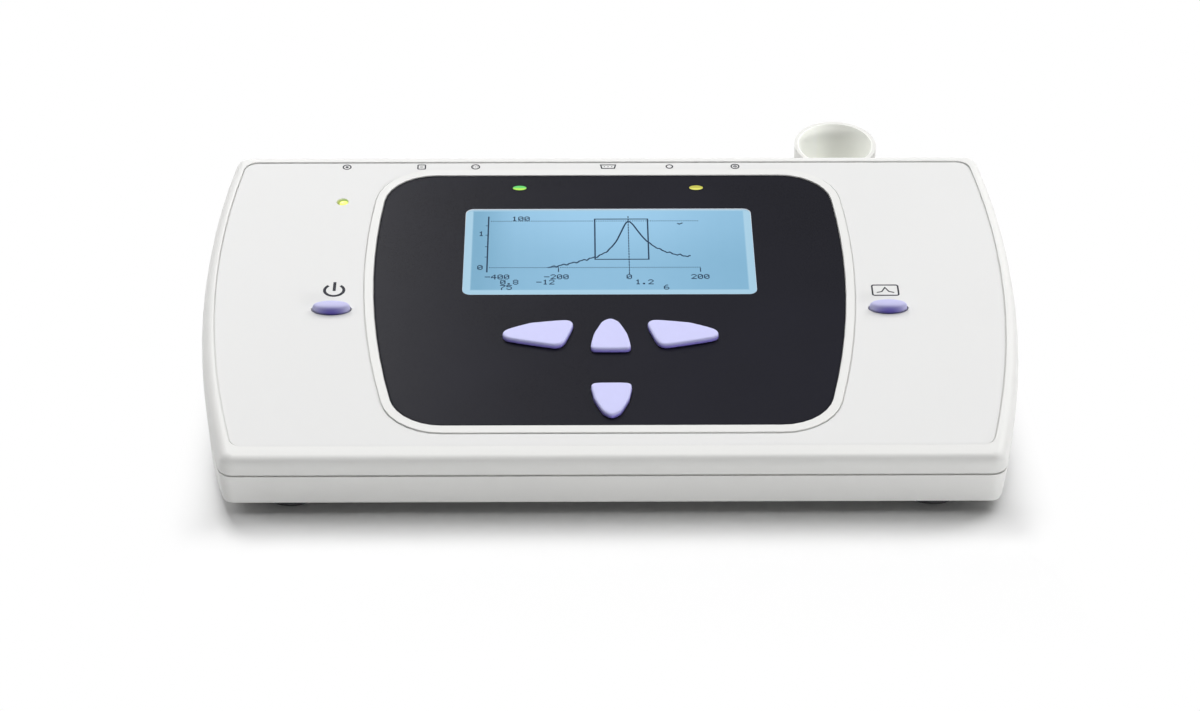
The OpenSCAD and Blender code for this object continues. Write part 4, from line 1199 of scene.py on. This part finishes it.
@dataclass
class Keys:
    """Soft keys of the panel and the two oval keys beside it, each with a moulded skin."""

    wardrobe: Wardrobe
    top: Colour = (0.57, 0.575, 0.885)
    # Painted shade: the arrow keys' violet flank colour.
    painted_shade_flank: Colour = (0.30, 0.25, 0.84)
    oval_top: Colour = (0.51, 0.505, 0.77)
    # Painted shade: the oval keys' violet front colour.
    oval_painted_shade: Colour = (0.06, 0.035, 0.34)
    oval_front: float = -92.4
    # Heights and distances over which the painted shade fades into the pale tops.
    arrow_shade_fade: Flat = (0.25, 1.45)
    oval_shade_fade: Flat = (-0.3, 1.9)
    arrow_foot: float = 0.4
    arrow_rings: tuple[Flat, ...] = (
        (-0.08, -0.6), (-0.08, 0.47), (-0.04, 0.7), (0.07, 0.92),
        (0.25, 1.08), (0.5, 1.18), (0.8, 1.225), (1.1, 1.24),
    )
    arrow_crown: tuple[Flat, ...] = ((0.5, 1.25),)
    oval_rings: tuple[Flat, ...] = (
        (-0.04, -0.6), (-0.03, 0.35), (0.04, 0.8), (0.2, 1.2), (0.45, 1.5), (0.8, 1.72),
    )
    oval_crown: tuple[Flat, ...] = ((0.82, 1.86), (0.6, 1.96), (0.3, 2.02))

    def skin(
        self,
        key: str,
        line: Sequence[Flat],
        rings: Sequence[Flat],
        crown: Sequence[Flat],
        material: bpy.types.Material,
    ) -> None:
        """Lays a smooth skin over a key.

        Args:
            key: the key's name without its prefix.
            line: the key's outline.
            rings: inset of each ring and its height above the surface, in millimetres.
            crown: share of the last ring and height of the rings inside it.
            material: the skin's finish.
        """
        self.wardrobe.wear("key_" + key, material)
        loops = [[TOP.at(*spot, level) for spot in inset(line, gap)] for gap, level in rings]
        last = inset(line, rings[-1][0])
        mid_u, mid_v = (sum(spot[axis] for spot in last) / len(last) for axis in (0, 1))
        for share, level in crown:
            spots = [(mid_u + (u - mid_u) * share, mid_v + (v - mid_v) * share) for u, v in last]
            loops.append([TOP.at(*spot, level) for spot in spots])
        skin = Solid("key_skin_" + key)
        skin.loft(loops)
        skin.finish(material, "key_lilac", key + "_button", smooth=True)

    def arrows(self) -> None:
        """Dresses the four arrow keys, with painted shade: violet towards their feet."""
        foot, normal = tuple(TOP.at(0, 0, FILM)), tuple(TOP.normal)
        silicone = Silicone("key_lilac", self.top, self.painted_shade_flank, foot, normal, *self.arrow_shade_fade).build()
        for key in ("left", "right", "up", "down"):
            line = eased(flow(outline("key_" + key, self.arrow_foot)))
            self.skin(key, line, self.arrow_rings, self.arrow_crown, silicone)

    def ovals(self) -> None:
        """Dresses the two oval keys, with painted shade: violet towards the front."""
        front, way = tuple(TOP.at(0, self.oval_front)), tuple(TOP.back)
        colours = (self.oval_top, self.oval_painted_shade)
        silicone = Silicone("key_lilac_oval_painted_shade", *colours, front, way, *self.oval_shade_fade).build()
        for key in ("power", "mode"):
            (left, right), (low, high) = extent(outline("key_" + key, FILM))
            line = oval((left + right) / 2, (low + high) / 2, (right - left) / 2, (high - low) / 2, 90)
            self.skin(key, line, self.oval_rings, self.oval_crown, silicone)

    def build(self) -> None:
        """Dresses the six keys."""
        self.arrows()
        self.ovals()


@dataclass
class Lamps:
    """Light guides of the power lamp and the two panel lamps, with their dark surrounds."""

    wardrobe: Wardrobe
    bar_v: float = -18.3
    bar_u: float = 30.6
    bar_half: Flat = (2.4, 1.4)
    bar_surround: Flat = (2.9, 1.98)
    power_at: Flat = (-91.14, -26.6)
    power_radius: float = 1.44
    power_span: Flat = (-2.55, -0.47)
    print_thick: float = 0.03
    border_pen: float = 0.5
    border_middle: float = -56.0
    border_share: Flat = (0.9965, 0.9945)
    border_thick: float = 0.02

    def lens(
        self, node: str, name: str, front: Colour, rear: Colour, at: Flat, turn: Flat, power: float
    ) -> bpy.types.Material:
        """Dresses a lamp, in one colour at its front and another at its rear.

        Args:
            node: the lamp's node.
            name: the material's name.
            front: the colour at the front.
            rear: the colour at the rear.
            at: the lamp's middle on the top surface.
            turn: start and end of the change between the colours, in millimetres from the middle.
            power: strength of its glow.

        Returns:
            The material.
        """
        material = Lamp(name, front, rear, power, tuple(TOP.at(*at)), tuple(TOP.back), *turn).build()
        self.wardrobe.wear(node, material)
        return material

    def panel_lamps(self) -> None:
        """Dresses the two flat lamps of the panel."""
        green, lime = (0.10, 0.62, 0.13), (0.42, 0.78, 0.06)
        gold, olive = (0.74, 0.73, 0.12), (0.50, 0.48, 0.06)
        left, right = (-self.bar_u, self.bar_v), (self.bar_u, self.bar_v)
        self.lens("led_left", "lens_green", lime, green, left, (-0.9, 0.9), 0.6)
        self.lens("led_right", "lens_yellow", gold, olive, right, (-0.9, 0.6), 0.6)

    def power_lamp(self) -> None:
        """Dresses the power lamp and domes it."""
        leaf, lemon = (0.34, 0.80, 0.14), (0.84, 0.93, 0.20)
        glow = self.lens("led_power", "lens_power", lemon, leaf, self.power_at, (0.9, 1.8), 0.85)
        cap = Solid("power_lens")
        cap.dome(*self.power_at, self.power_radius, *self.power_span)
        cap.finish(glow, "lens_green", smooth=True)

    def surrounds(self) -> None:
        """Rings the panel lamps and darkens the panel film's edge."""
        edge = self.wardrobe.get(Paint.EDGE)
        rings = Solid("lamp_surrounds")
        for u in (-self.bar_u, self.bar_u):
            inner, outer = oval(u, self.bar_v, *self.bar_half), oval(u, self.bar_v, *self.bar_surround)
            rings.ring(inner, outer, FILM + LIFT, FILM + self.print_thick)
        rings.finish(edge, "fascia_dark")
        (share_u, share_v), mid = self.border_share, self.border_middle
        line = [(u * share_u, (v - mid) * share_v + mid) for u, v in outline("fascia_label", FILM - 0.05)]
        border = Solid("fascia_border")
        border.ribbon(line, self.border_pen, FILM + LIFT, FILM + self.border_thick, closed=True)
        border.finish(edge, "fascia_dark")

    def build(self) -> None:
        """Dresses the lamps, domes the power lamp and rings the panel lamps."""
        self.panel_lamps()
        self.power_lamp()
        self.surrounds()


# Contacts in the rear sockets


@dataclass
class Contacts:
    """Pins that are seen in the mouths of the rear sockets, in millimetres."""

    wardrobe: Wardrobe
    plate: float = 160.5 - 97.15
    level: float = 20.6
    probe_x: float = 0.2
    probe_pitch: float = 1.6
    probe_rows: tuple[tuple[float, int], ...] = ((1.3, 8), (-1.3, 7))
    probe_reach: Flat = (0.3, 3.2)
    printer_x: float = -46.2
    printer_spots: tuple[Flat, ...] = (
        (-2.4, 0.2), (2.4, 0.2), (-2.1, -2.1), (2.1, -2.1), (-1.1, 2.6), (1.1, 2.6),
    )
    printer_reach: Flat = (-6.2, -2.4)
    data_x: float = -65.1
    data_spots: tuple[Flat, ...] = ((-1.2, 17.35), (1.2, 17.35), (-1.2, 20.95), (1.2, 20.95))
    data_reach: Flat = (-6.2, -2.0)

    def pins(self, name: str, spots: Sequence[Flat], reach: Flat, radius: float) -> None:
        """Adds a socket's pins, which point to the back.

        Args:
            name: the piece's name.
            spots: x and z of each pin.
            reach: start and end of the pins behind the rear plate.
            radius: their radius.
        """
        solid = Solid(name)
        for x, z in spots:
            foot, tip = (Vector((x, self.plate + depth, z)) * MM for depth in reach)
            solid.rod(foot, tip, radius * MM)
        solid.finish(self.wardrobe.get(Paint.GOLD), "nut_nickel")

    def build(self) -> None:
        """Builds the pins of the probe, printer and data sockets."""
        probe = [
            (self.probe_x + (i - (count - 1) / 2) * self.probe_pitch, self.level + row)
            for row, count in self.probe_rows
            for i in range(count)
        ]
        printer = [(self.printer_x + x, self.level + z) for x, z in self.printer_spots]
        self.pins("probe_pins", probe, self.probe_reach, 0.38)
        self.pins("printer_pins", printer, self.printer_reach, 0.36)
        self.pins("data_contacts", [(self.data_x + x, z) for x, z in self.data_spots], self.data_reach, 0.22)


# Studio


@dataclass(frozen=True)
class SoftLight:
    """A rectangular soft light: place and size in metres, power in watts."""

    name: str
    place: tuple[float, float, float]
    size: Flat
    power: float
    mirrored: bool = True

    def build(self, aim: Vector) -> None:
        """Adds the light, turned to a point."""
        data = bpy.data.lights.new(self.name, "AREA")
        data.shape, data.energy = "RECTANGLE", self.power
        data.size, data.size_y = self.size
        thing = bpy.data.objects.new(self.name, data)
        thing.location = self.place
        thing.rotation_euler = (aim - Vector(self.place)).to_track_quat("-Z", "Y").to_euler()
        thing.visible_glossy = self.mirrored
        bpy.context.scene.collection.objects.link(thing)


@dataclass
class Studio:
    """Pale floor, soft light and the camera of the photograph."""

    camera_at: tuple[float, float, float] = (-11.5, -955.58, 418.13)
    yaw: float = 0.58
    roll: float = 0.20
    pitch: float = 37.0
    lens: float = 92.13
    ambient: float = 0.02
    aim: tuple[float, float, float] = (0.0, 0.0, 0.03)
    floor_half: float = 6.0
    floor_tone: float = 0.855
    clear_side: Flat = (122.0, 140.0)
    clear_front: Flat = (118.0, 150.0)
    clear_far: Flat = (145.0, 190.0)
    clear_back: Flat = (90.0, 140.0)
    near_share: float = 0.7
    lights: tuple[SoftLight, ...] = (
        SoftLight("soft_top", (0.0, 0.3, 3.2), (2.4, 2.4), 27.5),
        SoftLight("soft_back", (0.0, 1.2, 2.9), (2.2, 1.2), 22.5),
        SoftLight("soft_right", (2.0, 1.8, 2.2), (1.8, 1.8), 62.0),
        SoftLight("soft_left", (-2.6, 0.6, 1.8), (1.8, 1.8), 26.0),
        SoftLight("soft_back_left", (-0.9, 2.2, 2.5), (1.0, 1.0), 44.0),
        SoftLight("soft_front", (1.2, -1.6, 0.09), (1.0, 0.15), 15.4, mirrored=False),
    )

    def camera(self) -> None:
        """Places the camera, whose turns are measured from the top surface."""
        pitch, yaw, roll = (math.radians(a) for a in (self.pitch, self.yaw, self.roll))
        level = math.cos(pitch)
        ahead = Vector((math.sin(yaw) * level, math.cos(yaw) * level, -math.sin(pitch)))
        right = Vector((math.cos(yaw), -math.sin(yaw), 0.0))
        up = right.cross(ahead)
        right, up = right * math.cos(roll) + up * math.sin(roll), up * math.cos(roll) - right * math.sin(roll)
        turn = Matrix.Rotation(math.radians(TOP.slope), 3, "X") @ Matrix((right, up, -ahead)).transposed()
        data = bpy.data.cameras.new("view")
        data.lens, data.sensor_width, data.sensor_fit = self.lens, 36.0, "HORIZONTAL"
        data.clip_start, data.clip_end = 0.05, 50.0
        thing = bpy.data.objects.new("view", data)
        thing.matrix_world = Matrix.Translation(Vector(self.camera_at) * MM) @ turn.to_4x4()
        bpy.context.scene.collection.objects.link(thing)
        bpy.context.scene.camera = thing

    def world(self) -> None:
        """White where it is seen, mirrored or looked through, and dim for the light on the object."""
        world = bpy.data.worlds.new("studio")
        world.use_nodes = True
        bpy.context.scene.world = world
        nodes, links = world.node_tree.nodes, world.node_tree.links
        nodes.clear()
        path = nodes.new("ShaderNodeLightPath")
        plain, seen = nodes.new("ShaderNodeBackground"), nodes.new("ShaderNodeBackground")
        for background, strength in ((plain, self.ambient), (seen, 1.0)):
            background.inputs["Color"].default_value = (1.0, 1.0, 1.0, 1.0)
            background.inputs["Strength"].default_value = strength
        mix, output = nodes.new("ShaderNodeMixShader"), nodes.new("ShaderNodeOutputWorld")
        either = path.outputs["Is Camera Ray"]
        for ray in ("Is Glossy Ray", "Is Transmission Ray"):
            more = nodes.new("ShaderNodeMath")
            more.operation = "MAXIMUM"
            links.new(either, more.inputs[0])
            links.new(path.outputs[ray], more.inputs[1])
            either = more.outputs[0]
        links.new(either, mix.inputs[0])
        links.new(plain.outputs[0], mix.inputs[1])
        links.new(seen.outputs[0], mix.inputs[2])
        links.new(mix.outputs[0], output.inputs[0])

    def floor_material(self) -> bpy.types.Material:
        """Pale near the object, where it keeps the shadow, and white farther off."""
        shader = Shader("floor_white")
        tone = shader.noise(3.0) * 0.01 + self.floor_tone
        colour = shader.add("ShaderNodeCombineColor", None, {0: tone, 1: tone, 2: tone})
        gloss = shader.noise(40.0) * 0.05 + 0.4
        shader.dress(base_color=colour.outputs[0], roughness=gloss, specular_ior_level=0.2)
        side, deep = abs(shader.along((1, 0, 0))), shader.along((0, 1, 0))
        near, far = (0 - deep).rise(*self.clear_front), (0 - deep).rise(*self.clear_far)
        front = near * self.near_share + far * (1 - self.near_share)
        away = side.rise(*self.clear_side).larger(front).larger(deep.rise(*self.clear_back))
        path = shader.add("ShaderNodeLightPath")
        camera, glossy = (Signal(shader, path.outputs[ray]) for ray in ("Is Camera Ray", "Is Glossy Ray"))
        white = shader.add("ShaderNodeEmission", None, {"Color": (1.0, 1.0, 1.0), "Strength": 1.0})
        sockets = {0: away * camera.larger(glossy), 1: shader.body.outputs[0], 2: white.outputs[0]}
        mixed = shader.add("ShaderNodeMixShader", None, sockets)
        shader.feed(shader.output.inputs[0], mixed.outputs[0])
        return shader.material

    def floor(self) -> None:
        """A wide square floor under the object."""
        half = self.floor_half
        mesh = bpy.data.meshes.new("floor")
        corners = [(-half, -half, 0), (half, -half, 0), (half, half, 0), (-half, half, 0)]
        mesh.from_pydata(corners, [], [(0, 1, 2, 3)])
        mesh.materials.append(self.floor_material())
        thing = bpy.data.objects.new("floor", mesh)
        bpy.context.scene.collection.objects.link(thing)

    def build(self) -> None:
        """Builds camera, world, floor and lights."""
        self.camera()
        self.world()
        self.floor()
        for light in self.lights:
            light.build(Vector(self.aim))
        bpy.context.scene.view_settings.view_transform = "Standard"


def main() -> None:
    """Builds every assembly in order."""
    logging.basicConfig(level=logging.INFO, format="%(name)s: %(message)s")
    Studio().build()
    wardrobe = Wardrobe()
    wardrobe.dress_nodes()
    Keys(wardrobe).build()
    Lamps(wardrobe).build()
    Display(wardrobe).build()
    Print(wardrobe).build()
    Contacts(wardrobe).build()


if __name__ == "__main__":
    main()
